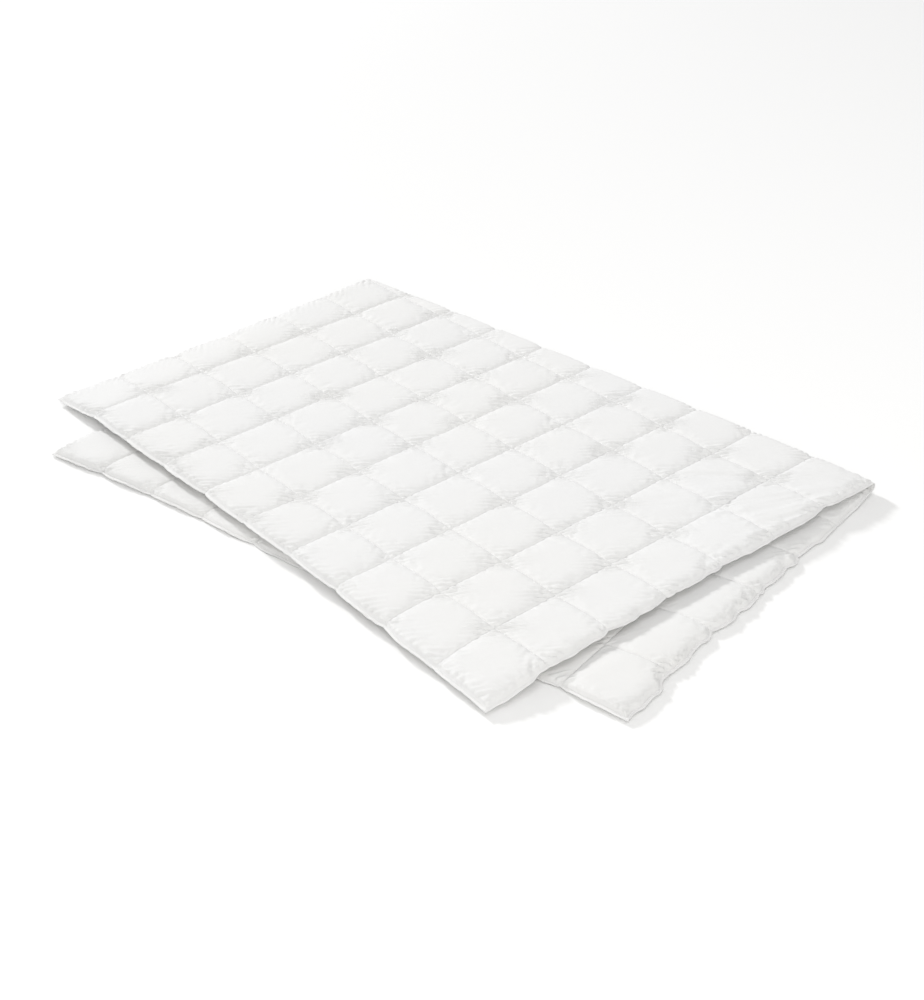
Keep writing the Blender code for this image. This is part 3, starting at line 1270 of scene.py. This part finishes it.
@dataclass
class FoldRoll:
    """The stretch of quilt that turns round the fold, from the lower leaf to the upper one."""

    cut: QuiltCut
    lower: QuiltLeaf
    upper: QuiltLeaf
    turns: int = 20
    reach: float = 0.008
    pucker_span: float = 0.011
    crease_span: float = 0.024
    outer_scallop: float = 0.0009
    inner_scallop: float = 0.0002
    drawn_in: float = 0.16
    hem_drawn_in: float = 0.10
    least_radius: float = 0.0001
    weave_round: float = 0.05
    weave_turn: float = 0.01
    weave_step: float = 0.003

    def ends(self) -> tuple[Grid, Grid, Grid, Grid]:
        """The leaves' edges at the fold: lower outer, lower inner, upper inner and upper outer."""
        outer, inner = (ply[-1] for ply in self.upper.plies)
        below = []
        for ply in self.lower.plies:
            edge = ply[-1]
            matched = [np.interp(outer[:, 0], edge[:, 0], edge[:, axis]) for axis in (1, 2)]
            below.append(np.stack([outer[:, 0], *matched], axis=-1))
        return below[0], below[1], inner, outer

    def skin(self, start: Grid, end: Grid, scallop: float) -> Grid:
        """One side of the roll, turned about the fold line.

        Args:
            start: The edge on the lower leaf.
            end: The edge on the upper leaf.
            scallop: Height of the puckers round the roll, in metres.

        Returns:
            Turn, point along the fold and x, y, z.
        """
        hinge = self.lower.fold_start
        share = np.linspace(0.0, 1.0, self.turns + 1)[:, None]
        angle = -math.pi / 2 + math.pi * share
        low = hinge.z - start[None, :, 2]
        high = end[None, :, 2] - hinge.z
        radius = low * (1 - share) + high * share
        arch = np.sin(math.pi * share)
        pucker = ripple(end[None, :, 0] / self.pucker_span, share * 2.5, Seed.ROLL)
        pucker = pucker + 0.6 * ripple(end[None, :, 0] / self.crease_span, share * 1.5, Seed.ROLL_DETAIL)
        radius = radius * (1 - self.drawn_in * arch) + scallop * arch * pucker
        radius = np.maximum(radius, self.least_radius)
        place_x = start[None, :, 0] * (1 - share) + end[None, :, 0] * share
        place_y = (start[None, :, 1] * (1 - share) + end[None, :, 1] * share) - radius * np.cos(angle)
        place_z = hinge.z + radius * np.sin(angle)
        return np.stack([place_x, place_y, place_z], axis=-1)

    def build(self) -> bpy.types.Object:
        """Makes the closed roll.

        Returns:
            The new object.
        """
        low_out, low_in, up_in, up_out = self.ends()
        outer = self.skin(low_out, up_out, self.outer_scallop)
        inner = self.skin(low_in, up_in, self.inner_scallop)
        shape = outer.shape[:2]
        points = np.concatenate([outer.reshape(-1, 3), inner.reshape(-1, 3)])
        across = np.broadcast_to(self.upper.across[-1], shape)
        along = np.linspace(0.0, self.weave_round, shape[0])[:, None] + self.upper.flat_along[-1][None, :]
        flat = np.stack([across.ravel(), np.broadcast_to(along, shape).ravel()], axis=-1)
        # Seam nearness carried round the roll, for the shade painted into the seam grooves.
        marks = {"seam_shade_mark": np.tile(np.broadcast_to(self.upper.seam_shade_mark[-1], shape).ravel(), 2)}
        return make_piece("fold_roll", points, sheet_faces(*shape), np.tile(flat, (2, 1)), marks)

    def hem_turn(self, name: str, at_left: bool, hem: HemCloth) -> bpy.types.Object:
        """Makes the hem that turns round one end of the roll.

        Args:
            name: The piece's name.
            at_left: Whether it is the end where the fold starts.
            hem: The hem's sizes.

        Returns:
            The new object.
        """
        column = 0 if at_left else -1
        low, high = self.lower.middles[-1, column], self.upper.middles[-1, column]
        outward = -1.0 if at_left else 1.0
        hinge = self.lower.fold_start
        angles = np.linspace(-math.pi / 2, math.pi / 2, self.turns + 1)
        share = (np.sin(angles) + 1) / 2
        rings = []
        for reach, half in ((-hem.tuck / hem.width, 0.8), *hem.turn_profile):
            for side in (1.0, -1.0):
                radius = (high[2] - low[2]) / 2 + side * half * hem.half
                radius = radius * (1 - self.hem_drawn_in * np.cos(angles))
                place_x = low[0] * (1 - share) + high[0] * share + outward * reach * hem.width
                place_y = hinge.y - radius * np.cos(angles)
                place_z = (low[2] + high[2]) / 2 + radius * np.sin(angles)
                rings.append(np.stack([place_x, place_y, place_z], axis=-1))
        ring = np.stack(rings[0::2] + rings[1::2][::-1])
        along, across = angles * self.weave_turn, np.arange(len(ring)) * self.weave_step
        flat = np.stack(np.meshgrid(along, across), axis=-1).reshape(-1, 2)
        return make_piece(name, ring.reshape(-1, 3), band_faces(*ring.shape[:2]), flat)

    def bend(self, piece: bpy.types.Object) -> None:
        """Bakes a piece's transform into its mesh.

        Args:
            piece: The finished piece.
        """
        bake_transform(piece)


@dataclass(frozen=True)
class Thread:
    """The quilting thread: one short stitch after another along each seam."""

    pitch: float = 0.0034
    length: float = 0.0025
    width: float = 0.0006
    spread: float = 0.10
    sides: int = 6
    rings: int = 3
    seed: int = 5

    def tree(self, thread: bpy.types.Material) -> bpy.types.NodeTree:
        """Builds the node tree that sews stitches along lines.

        Args:
            thread: The stitches' material.

        Returns:
            The tree, with its sizes as named inputs.
        """
        tree = bpy.data.node_groups.new("running_stitch", "GeometryNodeTree")
        sockets = tree.interface
        sockets.new_socket("Geometry", in_out="INPUT", socket_type="NodeSocketGeometry")
        for name in ("Pitch", "Stitch length", "Stitch width", "Spread"):
            sockets.new_socket(name, in_out="INPUT", socket_type="NodeSocketFloat")
        sockets.new_socket("Seed", in_out="INPUT", socket_type="NodeSocketInt")
        sockets.new_socket("Geometry", in_out="OUTPUT", socket_type="NodeSocketGeometry")
        board = NodeBoard(tree)
        given, result = board.add("NodeGroupInput"), board.add("NodeGroupOutput")
        curve = board.add("GeometryNodeMeshToCurve")
        spaced = board.add("GeometryNodeResampleCurve", mode="LENGTH")
        bead = board.add("GeometryNodeMeshUVSphere")
        board.fed(bead, {"Segments": self.sides, "Rings": self.rings, "Radius": 0.5})
        shape, tangent = board.add("ShaderNodeCombineXYZ"), board.add("GeometryNodeInputTangent")
        turned = board.add("FunctionNodeAlignRotationToVector", axis="X")
        placed = board.add("GeometryNodeInstanceOnPoints")
        loose = board.add("FunctionNodeRandomValue")
        real, dressed = board.add("GeometryNodeRealizeInstances"), board.add("GeometryNodeSetMaterial")
        dressed.inputs["Material"].default_value = thread
        spread, width = given.outputs["Spread"], given.outputs["Stitch width"]
        varied = board.math("ADD", loose.outputs[1], 1.0)
        long = board.math("MULTIPLY", given.outputs["Stitch length"], varied)
        for source, target in (
            (given.outputs["Geometry"], curve.inputs["Mesh"]),
            (curve.outputs["Curve"], spaced.inputs["Curve"]),
            (given.outputs["Pitch"], spaced.inputs["Length"]),
            (board.math("MULTIPLY", spread, -1.0), loose.inputs[2]),
            (spread, loose.inputs[3]),
            (given.outputs["Seed"], loose.inputs["Seed"]),
            (long, shape.inputs["X"]),
            (width, shape.inputs["Y"]),
            (width, shape.inputs["Z"]),
            (tangent.outputs["Tangent"], turned.inputs["Vector"]),
            (spaced.outputs["Curve"], placed.inputs["Points"]),
            (bead.outputs["Mesh"], placed.inputs["Instance"]),
            (turned.outputs["Rotation"], placed.inputs["Rotation"]),
            (shape.outputs["Vector"], placed.inputs["Scale"]),
            (placed.outputs["Instances"], real.inputs["Geometry"]),
            (real.outputs["Geometry"], dressed.inputs["Geometry"]),
            (dressed.outputs["Geometry"], result.inputs["Geometry"]),
        ):
            board.link(source, target)
        return tree

    def sew(self, name: str, lines: list[Grid], tree: bpy.types.NodeTree) -> bpy.types.Object:
        """Sews one piece of stitching along lines.

        Args:
            name: The piece's name.
            lines: Lines of points that the thread follows.
            tree: The tree from tree().

        Returns:
            The stitches as a plain mesh object.
        """
        points = np.concatenate(lines)
        edges, first = [], 0
        for line in lines:
            edges += [(first + k, first + k + 1) for k in range(len(line) - 1)]
            first += len(line)
        mesh = bpy.data.meshes.new(name + "_path")
        mesh.from_pydata(points.tolist(), edges, [])
        path = bpy.data.objects.new(name + "_path", mesh)
        bpy.context.scene.collection.objects.link(path)
        sewing = path.modifiers.new("sewing", "NODES")
        sewing.node_group = tree
        values = {
            "Pitch": self.pitch,
            "Stitch length": self.length,
            "Stitch width": self.width,
            "Spread": self.spread,
            "Seed": self.seed,
        }
        for item in tree.interface.items_tree:
            if item.in_out == "INPUT" and item.name in values:
                sewing[item.identifier] = values[item.name]
        path.update_tag()
        graph = bpy.context.evaluated_depsgraph_get()
        sewn = bpy.data.meshes.new_from_object(path.evaluated_get(graph), depsgraph=graph)
        bpy.data.objects.remove(path)
        sewn.name = name
        sewn.polygons.foreach_set("use_smooth", np.ones(len(sewn.polygons), bool))
        piece = bpy.data.objects.new(name, sewn)
        bpy.context.scene.collection.objects.link(piece)
        return piece


# ---------------------------------------------------------------- finishes


@dataclass(frozen=True)
class PlainWeave:
    """The plain weave that every cloth shares, with its slubs and faint creases."""

    name: str = "plain_weave"
    thread_height: float = 0.12
    slub_scale: float = 900.0
    crease_scale: float = 85.0
    crease_detail: float = 3.0
    crease_twist: float = 0.6

    def group(self) -> bpy.types.NodeTree:
        """Builds the group.

        Returns:
            A group that takes a place on the cloth and gives a height and a shade mask.
        """
        tree = bpy.data.node_groups.new(self.name, "ShaderNodeTree")
        tree.interface.new_socket("Place", in_out="INPUT", socket_type="NodeSocketVector")
        for name in ("Threads", "Slubs", "Creases"):
            tree.interface.new_socket(name, in_out="INPUT", socket_type="NodeSocketFloat")
        for name in ("Height", "Shade"):
            tree.interface.new_socket(name, in_out="OUTPUT", socket_type="NodeSocketFloat")
        board = NodeBoard(tree)
        given, result = board.add("NodeGroupInput").outputs, board.add("NodeGroupOutput")
        split = board.add("ShaderNodeSeparateXYZ")
        board.link(given["Place"], split.inputs[0])
        turns = [board.math("MULTIPLY", split.outputs[axis], given["Threads"]) for axis in "XY"]
        warp, weft = (board.math("SINE", turn) for turn in turns)
        weave = board.math("MULTIPLY", warp, weft)
        slub = board.noise(given["Place"], self.slub_scale)
        crease = board.noise(given["Place"], self.crease_scale, self.crease_detail, self.crease_twist)
        uneven = board.math("MULTIPLY", slub, given["Slubs"])
        creased = board.math("MULTIPLY", crease, given["Creases"])
        woven = board.math("MULTIPLY", weave, self.thread_height)
        board.link(board.math("ADD", woven, board.math("ADD", uneven, creased)), result.inputs["Height"])
        board.link(board.math("MULTIPLY", board.math("ADD", weave, slub), 0.5), result.inputs["Shade"])
        return tree


@dataclass(frozen=True)
class CottonPercale:
    """White downproof cotton: its two tones, its gloss, its weave, its finest folds and the shade painted
    into its seam grooves.
    """

    name: str
    cool: Colour = (0.845, 0.848, 0.858)
    warm: Colour = (0.865, 0.860, 0.846)
    cloud_scale: float = 2.2
    cloud_detail: float = 3.0
    # Painted shade: the grey that the colour is darkened towards in the seam grooves.
    painted_groove_shade: Colour = (0.70, 0.70, 0.70)
    groove_shade_share: float = 0.12
    groove_shade_sharpness: float = 3.0
    roughness: float = 0.8
    roughness_spread: float = 0.10
    specular: float = 0.15
    sheen: float = 0.05
    sheen_roughness: float = 0.45
    threads: float = 17000.0
    thread_tint: float = 0.06
    slubs: float = 0.05
    creases: float = 0.22
    relief: float = 0.00035
    fold_lean: float = -0.62
    fold_scale: tuple[float, float, float] = (90.0, 13.0, 1.0)
    fold_depth: float = 8.5
    fold_ground: float = 1.8
    fold_detail: float = 1.5
    fold_twist: float = 0.35

    def material(self, weave: bpy.types.NodeTree) -> bpy.types.Material:
        """Builds the material.

        Args:
            weave: The shared weave group.

        Returns:
            A material that reads the piece's own cloth map.
        """
        made, board, shader = new_finish(self.name)
        cloth = board.add("ShaderNodeUVMap", uv_map="cloth").outputs["UV"]
        place = board.add("ShaderNodeTexCoord").outputs["Object"]
        woven = board.add("ShaderNodeGroup", node_tree=weave)
        board.fed(
            woven, {"Place": cloth, "Threads": self.threads, "Slubs": self.slubs, "Creases": self.creases}
        )
        shade = woven.outputs["Shade"]
        cloud = board.noise(place, self.cloud_scale, self.cloud_detail)
        tone = board.mix(cloud, (*self.cool, 1.0), (*self.warm, 1.0))
        # Painted shade: near the seams the colour is mixed towards grey, standing in for the shade in the
        # grooves.
        seam = board.add("ShaderNodeAttribute", attribute_name="seam_shade_mark").outputs["Fac"]
        groove_shade_amount = board.math("MULTIPLY", board.math("POWER", seam, self.groove_shade_sharpness), self.groove_shade_share)
        groove_shaded = board.mix(groove_shade_amount, tone, (*self.painted_groove_shade, 1.0))
        spread = board.math("MULTIPLY", shade, self.roughness_spread)
        sockets = {
            "Base Color": board.mix(self.thread_tint, groove_shaded, shade, "MULTIPLY"),
            "Roughness": board.math("ADD", spread, self.roughness - self.roughness_spread / 2),
            "Normal": board.bump(self.folded(board, cloth, woven.outputs["Height"]), self.relief),
            "Sheen Weight": self.sheen,
            "Sheen Roughness": self.sheen_roughness,
            "Specular IOR Level": self.specular,
        }
        board.fed(shader, sockets)
        return made

    def folded(
        self, board: NodeBoard, cloth: bpy.types.NodeSocket, height: bpy.types.NodeSocket
    ) -> bpy.types.NodeSocket:
        """Adds fine slanting folds to the weave, strongest round the seam crossings.

        Args:
            board: The material's nodes.
            cloth: The place on the cloth.
            height: The weave's height.

        Returns:
            The socket with the joint height.
        """
        turned, stretched = board.add("ShaderNodeMapping"), board.add("ShaderNodeMapping")
        slanted = board.fed(turned, {"Vector": cloth, "Rotation": (0.0, 0.0, self.fold_lean)})
        lengthened = board.fed(stretched, {"Vector": slanted, "Scale": self.fold_scale})
        folds = board.noise(lengthened, 1.0, self.fold_detail, self.fold_twist)
        crossing = board.add("ShaderNodeAttribute", attribute_name="crossing_mark").outputs["Fac"]
        amount = board.math("ADD", board.math("MULTIPLY", crossing, self.fold_depth), self.fold_ground)
        ridged = board.math("ABSOLUTE", board.math("SUBTRACT", folds, 0.5))
        return board.math("ADD", board.math("MULTIPLY", ridged, amount), height)


@dataclass(frozen=True)
class SpunThread:
    """White polyester quilting thread with its twist."""

    name: str = "quilting_thread"
    colour: Colour = (0.85, 0.85, 0.85)
    shade: Colour = (0.78, 0.78, 0.79)
    twist_scale: float = 900.0
    twist_wobble: float = 1.5
    relief: float = 0.0001
    roughness: float = 0.6

    def material(self) -> bpy.types.Material:
        """Builds the material.

        Returns:
            A material whose twist follows the shared frame.
        """
        made, board, shader = new_finish(self.name)
        place = board.add("ShaderNodeTexCoord").outputs["Object"]
        wave = board.add("ShaderNodeTexWave", bands_direction="DIAGONAL")
        board.fed(wave, {"Vector": place, "Scale": self.twist_scale, "Distortion": self.twist_wobble})
        twist = wave.outputs["Fac"]
        sockets = {
            "Base Color": board.mix(twist, (*self.shade, 1.0), (*self.colour, 1.0)),
            "Normal": board.bump(twist, self.relief),
            "Roughness": self.roughness,
        }
        board.fed(shader, sockets)
        return made


# ---------------------------------------------------------------- studio


@dataclass(frozen=True)
class SoftLight:
    """One large studio light."""

    name: str
    place: tuple[float, float, float]
    target: tuple[float, float, float]
    size: float
    power: float
    colour: Colour = WHITE

    def hang(self) -> None:
        """Hangs the light and points it at its target."""
        lamp = bpy.data.lights.new(self.name, "AREA")
        lamp.shape = "DISK"
        lamp.size = self.size
        lamp.energy = self.power
        lamp.color = self.colour
        light = bpy.data.objects.new(self.name, lamp)
        light.location = self.place
        aim = Vector(self.target) - Vector(self.place)
        light.rotation_euler = aim.to_track_quat("-Z", "Y").to_euler()
        bpy.context.scene.collection.objects.link(light)


@dataclass
class Studio:
    """The floor, the lights and the camera."""

    floor_half: float = 14.0
    floor_tone: Colour = (0.93, 0.93, 0.93)
    grain_scale: float = 3.0
    lens: float = 58.0
    camera_place: tuple[float, float, float] = (-2.1841, 2.0992, 1.8371)
    camera_right: tuple[float, float, float] = (-0.71951, -0.694, -0.02579)
    camera_up: tuple[float, float, float] = (0.35698, -0.40145, 0.84345)
    camera_ahead: tuple[float, float, float] = (0.5957, -0.59767, -0.53659)
    sky: float = 0.54
    lights: tuple[SoftLight, ...] = (
        SoftLight("key_light", (16.0, -2.8, 7.4), (0.0, 0.0, 0.0), 2.0, 1900.0),
        SoftLight("overhead_light", (-1.0, 0.6, 6.5), (0.0, 0.0, 0.0), 5.0, 70.0),
        SoftLight("fill_light", (-4.5, 4.0, 4.0), (0.0, 0.0, 0.0), 4.0, 180.0, (1.0, 0.985, 0.94)),
    )

    def build(self) -> None:
        """Sets the whole studio up."""
        self.lay_floor()
        for light in self.lights:
            light.hang()
        self.light_sky()
        self.stand_camera()
        bpy.context.scene.view_settings.view_transform = "Standard"

    def lay_floor(self) -> None:
        """Lays a plain pale floor with a trace of unevenness in its gloss."""
        half = self.floor_half
        mesh = bpy.data.meshes.new("floor")
        corners = [(-half, -half, 0.0), (half, -half, 0.0), (half, half, 0.0), (-half, half, 0.0)]
        mesh.from_pydata(corners, [], [(0, 1, 2, 3)])
        floor = bpy.data.objects.new("floor", mesh)
        bpy.context.scene.collection.objects.link(floor)
        paper, board, shader = new_finish("studio_paper")
        grain = board.noise(board.add("ShaderNodeTexCoord").outputs["Object"], self.grain_scale)
        sockets = {
            "Base Color": (*self.floor_tone, 1.0),
            "Specular IOR Level": 0.1,
            "Roughness": board.math("ADD", board.math("MULTIPLY", grain, 0.1), 0.8),
        }
        board.fed(shader, sockets)
        mesh.materials.append(paper)

    def light_sky(self) -> None:
        """Surrounds the scene with even white light."""
        world = bpy.data.worlds.new("studio")
        bpy.context.scene.world = world
        world.use_nodes = True
        sky = world.node_tree.nodes["Background"]
        sky.inputs["Color"].default_value = (*WHITE, 1.0)
        sky.inputs["Strength"].default_value = self.sky

    def stand_camera(self) -> None:
        """Stands the camera at the corner where the leaves' free ends meet."""
        lens = bpy.data.cameras.new("camera")
        lens.lens = self.lens
        lens.sensor_width = 36.0
        camera = bpy.data.objects.new("camera", lens)
        right, up, ahead = (Vector(v) for v in (self.camera_right, self.camera_up, self.camera_ahead))
        axes = Matrix((right, up, -ahead)).transposed().to_4x4()
        camera.matrix_world = Matrix.Translation(self.camera_place) @ axes
        bpy.context.scene.collection.objects.link(camera)
        bpy.context.scene.camera = camera


# ---------------------------------------------------------------- the whole quilt


@dataclass
class DownQuilt:
    """The folded quilt: two leaves, the roll between them, their hems and their stitching."""

    cut: QuiltCut = field(default_factory=QuiltCut)
    recipe: PuffRecipe = field(default_factory=PuffRecipe)
    hem: HemCloth = field(default_factory=HemCloth)
    thread: Thread = field(default_factory=Thread)
    leaf_fill: float = 0.35
    roll_fill: float = 0.3
    lower_cells: int = 32
    mitre_depth: float = 0.7
    mitre_profile: Profile = ((0.0, 0.4), (0.15, 1.0), (0.5, 1.15), (0.85, 1.0), (1.0, 0.4))

    def __post_init__(self) -> None:
        """Reads the fold and the leaves' heights from the frame."""
        hinge = frame["joints"][0]["pos_m"]
        fold_length = self.cut.width / math.cos(self.cut.slant)
        self.fold_start = Vector((-fold_length / 2, hinge[1], hinge[2]))
        weave = PlainWeave().group()
        self.outer_cloth = CottonPercale("outer_percale").material(weave)
        inner = CottonPercale(
            "inner_percale", cool=(0.84, 0.845, 0.853), warm=(0.865, 0.857, 0.84), fold_lean=0.62
        )
        self.inner_cloth = inner.material(weave)
        self.hem_cloth = CottonPercale("hem_percale", groove_shade_share=0.0, relief=0.00025).material(weave)
        self.thread_finish = SpunThread().material()

    def heart_of(self, leaf: str) -> float:
        """Height of a leaf's stitching in the frame, half way between its plies."""
        low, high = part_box(f"{leaf}_stitching")
        return (low.z + high.z) / 2

    def build(self) -> None:
        """Builds every piece and dresses it, and hangs each leaf's pieces on that leaf's body."""
        surface = QuiltSurface(self.cut, PuffedBoxes(self.recipe, self.cut.box_width))
        LOG.info("puffed boxes ready")
        lower = QuiltLeaf(
            Leaf.LOWER,
            self.cut,
            surface,
            self.fold_start,
            self.heart_of("lower"),
            self.lower_cells,
            pulls=(Pull(Edge.FREE, 1.18, 0.22, 0.010), Pull(Edge.LEFT, 0.23, 0.16, 0.014)),
            edge_droop=0.0055,
            ruffle=0.006,
            edge_bulge=0.0028,
        )
        upper = QuiltLeaf(
            Leaf.UPPER,
            self.cut,
            surface,
            self.fold_start,
            self.heart_of("upper"),
            self.recipe.cells,
            pulls=(Pull(Edge.FREE, 0.55, 0.25, 0.006),),
        )
        lower.build(upper)
        upper.build(lower)
        tree = self.thread.tree(self.thread_finish)
        for leaf, body in ((lower, LOWER_BODY), (upper, UPPER_BODY)):
            self.finish_leaf(leaf, body, tree)
        self.finish_fold(lower, upper)

    def finish_leaf(self, leaf: QuiltLeaf, body: str, tree: bpy.types.NodeTree) -> None:
        """Makes one leaf's cover, hems and stitching.

        Args:
            leaf: The leaf, already laid out.
            body: The body that it rides on.
            tree: The stitching tree.
        """
        side = leaf.which.value
        cover = leaf.piece((self.outer_cloth, self.inner_cloth))
        channels = [f"{side}_down_channel_{number:02d}" for number in range(1, self.cut.boxes_across + 1)]
        panels = (f"{side}_outer_panel", f"{side}_inner_panel")
        self.settle_piece(cover, body, "outer_cloth", *panels, *channels)
        end = "head" if leaf.is_upper else "foot"
        names = {Edge.LEFT: "left", Edge.RIGHT: "right", Edge.FREE: end}
        centre = leaf.middles.reshape(-1, 3).mean(axis=0)
        topstitching = []
        for number, (edge, word) in enumerate(names.items()):
            line = leaf.hem_line(edge)
            calm = np.ones(len(line))
            if edge is not Edge.FREE:
                line = self.run_on(line)
                travelled = np.linspace(0.0, 1.0, len(line))
                calm = smoothstep(travelled, 0.0, 0.05)
            seed = Seed.HEM + 7 * number + (50 if leaf.is_upper else 0)
            name = f"{side}_{word}_hem"
            band, stitched = self.hem.band(name + "_band", line, centre, seed, calm, 0.2 * number)
            band.data.materials.append(self.hem_cloth)
            self.settle_piece(band, body, "hem_cloth", name)
            topstitching.append(stitched)
        for ply, word in ((OUTER_PLY, "outer"), (INNER_PLY, "inner")):
            up = 1.0 if (ply == OUTER_PLY) == leaf.is_upper else -1.0
            lines = [line + (0, 0, STAND_OFF * up) for line in leaf.seam_lines(ply)]
            drop = 0.0 if up > 0 else -1.9 * self.hem.half
            lines += [line + (0, 0, drop) for line in topstitching]
            sewn = self.thread.sew(f"{side}_{word}_stitches", lines, tree)
            stands_for = [f"{side}_stitching"] if ply == OUTER_PLY else []
            self.settle_piece(sewn, body, "thread", *stands_for)
        if not leaf.is_upper:
            self.fold_corner(leaf, body)

    def run_on(self, line: Grid) -> Grid:
        """Carries a side hem on past the corner by the width of a hem.

        Args:
            line: Points of the hem line, ending at the corner.

        Returns:
            The line with a few points more.
        """
        step = line[-1] - line[-6]
        step = step / np.linalg.norm(step)
        extra = line[-1] + step * np.linspace(0.0, self.hem.width, 5)[1:, None]
        return np.concatenate([line, extra])

    def settle_piece(self, piece: bpy.types.Object, body: str, slot: str, *nodes: str) -> None:
        """Puts a finished piece on its body, in place of its nodes.

        Args:
            piece: The finished piece.
            body: The body that it rides on.
            slot: Handed on to dress_piece, which does not use it.
            *nodes: The frame's nodes that it stands for.
        """
        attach(piece, body)
        self.dress_piece(piece, slot, *nodes)

    def dress_piece(self, piece: bpy.types.Object, slot: str, *nodes: str) -> None:
        """Hides the frame's nodes that a piece stands for, and logs its face count.

        Args:
            piece: The finished piece.
            slot: Not used.
            *nodes: The frame's nodes that it stands for.
        """
        if nodes:
            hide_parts(*nodes)
        LOG.info("%s: %d faces", piece.name, len(piece.data.polygons))

    def fold_corner(self, leaf: QuiltLeaf, body: str) -> None:
        """Makes the small mitre where the hems are folded over each other at the near corner.

        Args:
            leaf: The lower leaf.
            body: The body that it rides on.
        """
        low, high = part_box("lower_corner_fold")
        corner = leaf.middles[0, 0]
        along, across = leaf.middles[12, 0] - corner, leaf.middles[0, 12] - corner
        along, across = (v / np.linalg.norm(v) for v in (along * (1, 1, 0), across * (1, 1, 0)))
        reach, wide, steps = max(high.x - low.x, high.y - low.y), self.hem.width * 0.9, 8
        rows = []
        for share in np.linspace(0.0, 1.0, steps + 1):
            width = wide * (1 - 0.75 * share)
            start = corner - across * self.hem.width * 0.9 - along * self.hem.width * 0.8
            start = start + along * reach * share
            bulge = self.hem.half * (1.0 + 0.9 * math.sin(math.pi * share))
            profile = [(across * width * w, bulge * h + self.hem.half * 0.4) for w, h in self.mitre_profile]
            rows.append([start + sideways + (0, 0, rise) for sideways, rise in profile])
        top = np.array(rows)
        under = top - (0, 0, self.hem.half * self.mitre_depth)
        points = np.concatenate([top.reshape(-1, 3), under.reshape(-1, 3)])
        points[:, 2] = soft_floor(points[:, 2], 0.0003, 0.0002)
        mitre = make_piece("lower_corner_mitre", points, sheet_faces(*top.shape[:2]), points[:, :2].copy())
        mitre.data.materials.append(self.hem_cloth)
        self.settle_piece(mitre, body, "hem_cloth", "lower_corner_fold")

    def finish_fold(self, lower: QuiltLeaf, upper: QuiltLeaf) -> None:
        """Makes the roll round the fold and the hems at its ends.

        Args:
            lower: The lower leaf.
            upper: The upper leaf.
        """
        roll = FoldRoll(self.cut, lower, upper)
        body = roll.build()
        body.data.materials.append(self.outer_cloth)
        roll.bend(body)
        self.dress_piece(body, "outer_cloth")
        for name, at_left in (("fold_left_hem_turn", True), ("fold_right_hem_turn", False)):
            turn = roll.hem_turn(name, at_left, self.hem)
            turn.data.materials.append(self.hem_cloth)
            roll.bend(turn)
            self.dress_piece(turn, "hem_cloth")


def main() -> None:
    """Builds the studio and the quilt in order."""
    logging.basicConfig(level=logging.INFO, format="%(name)s: %(message)s")
    Studio().build()
    DownQuilt().build()


if __name__ == "__main__":
    main()
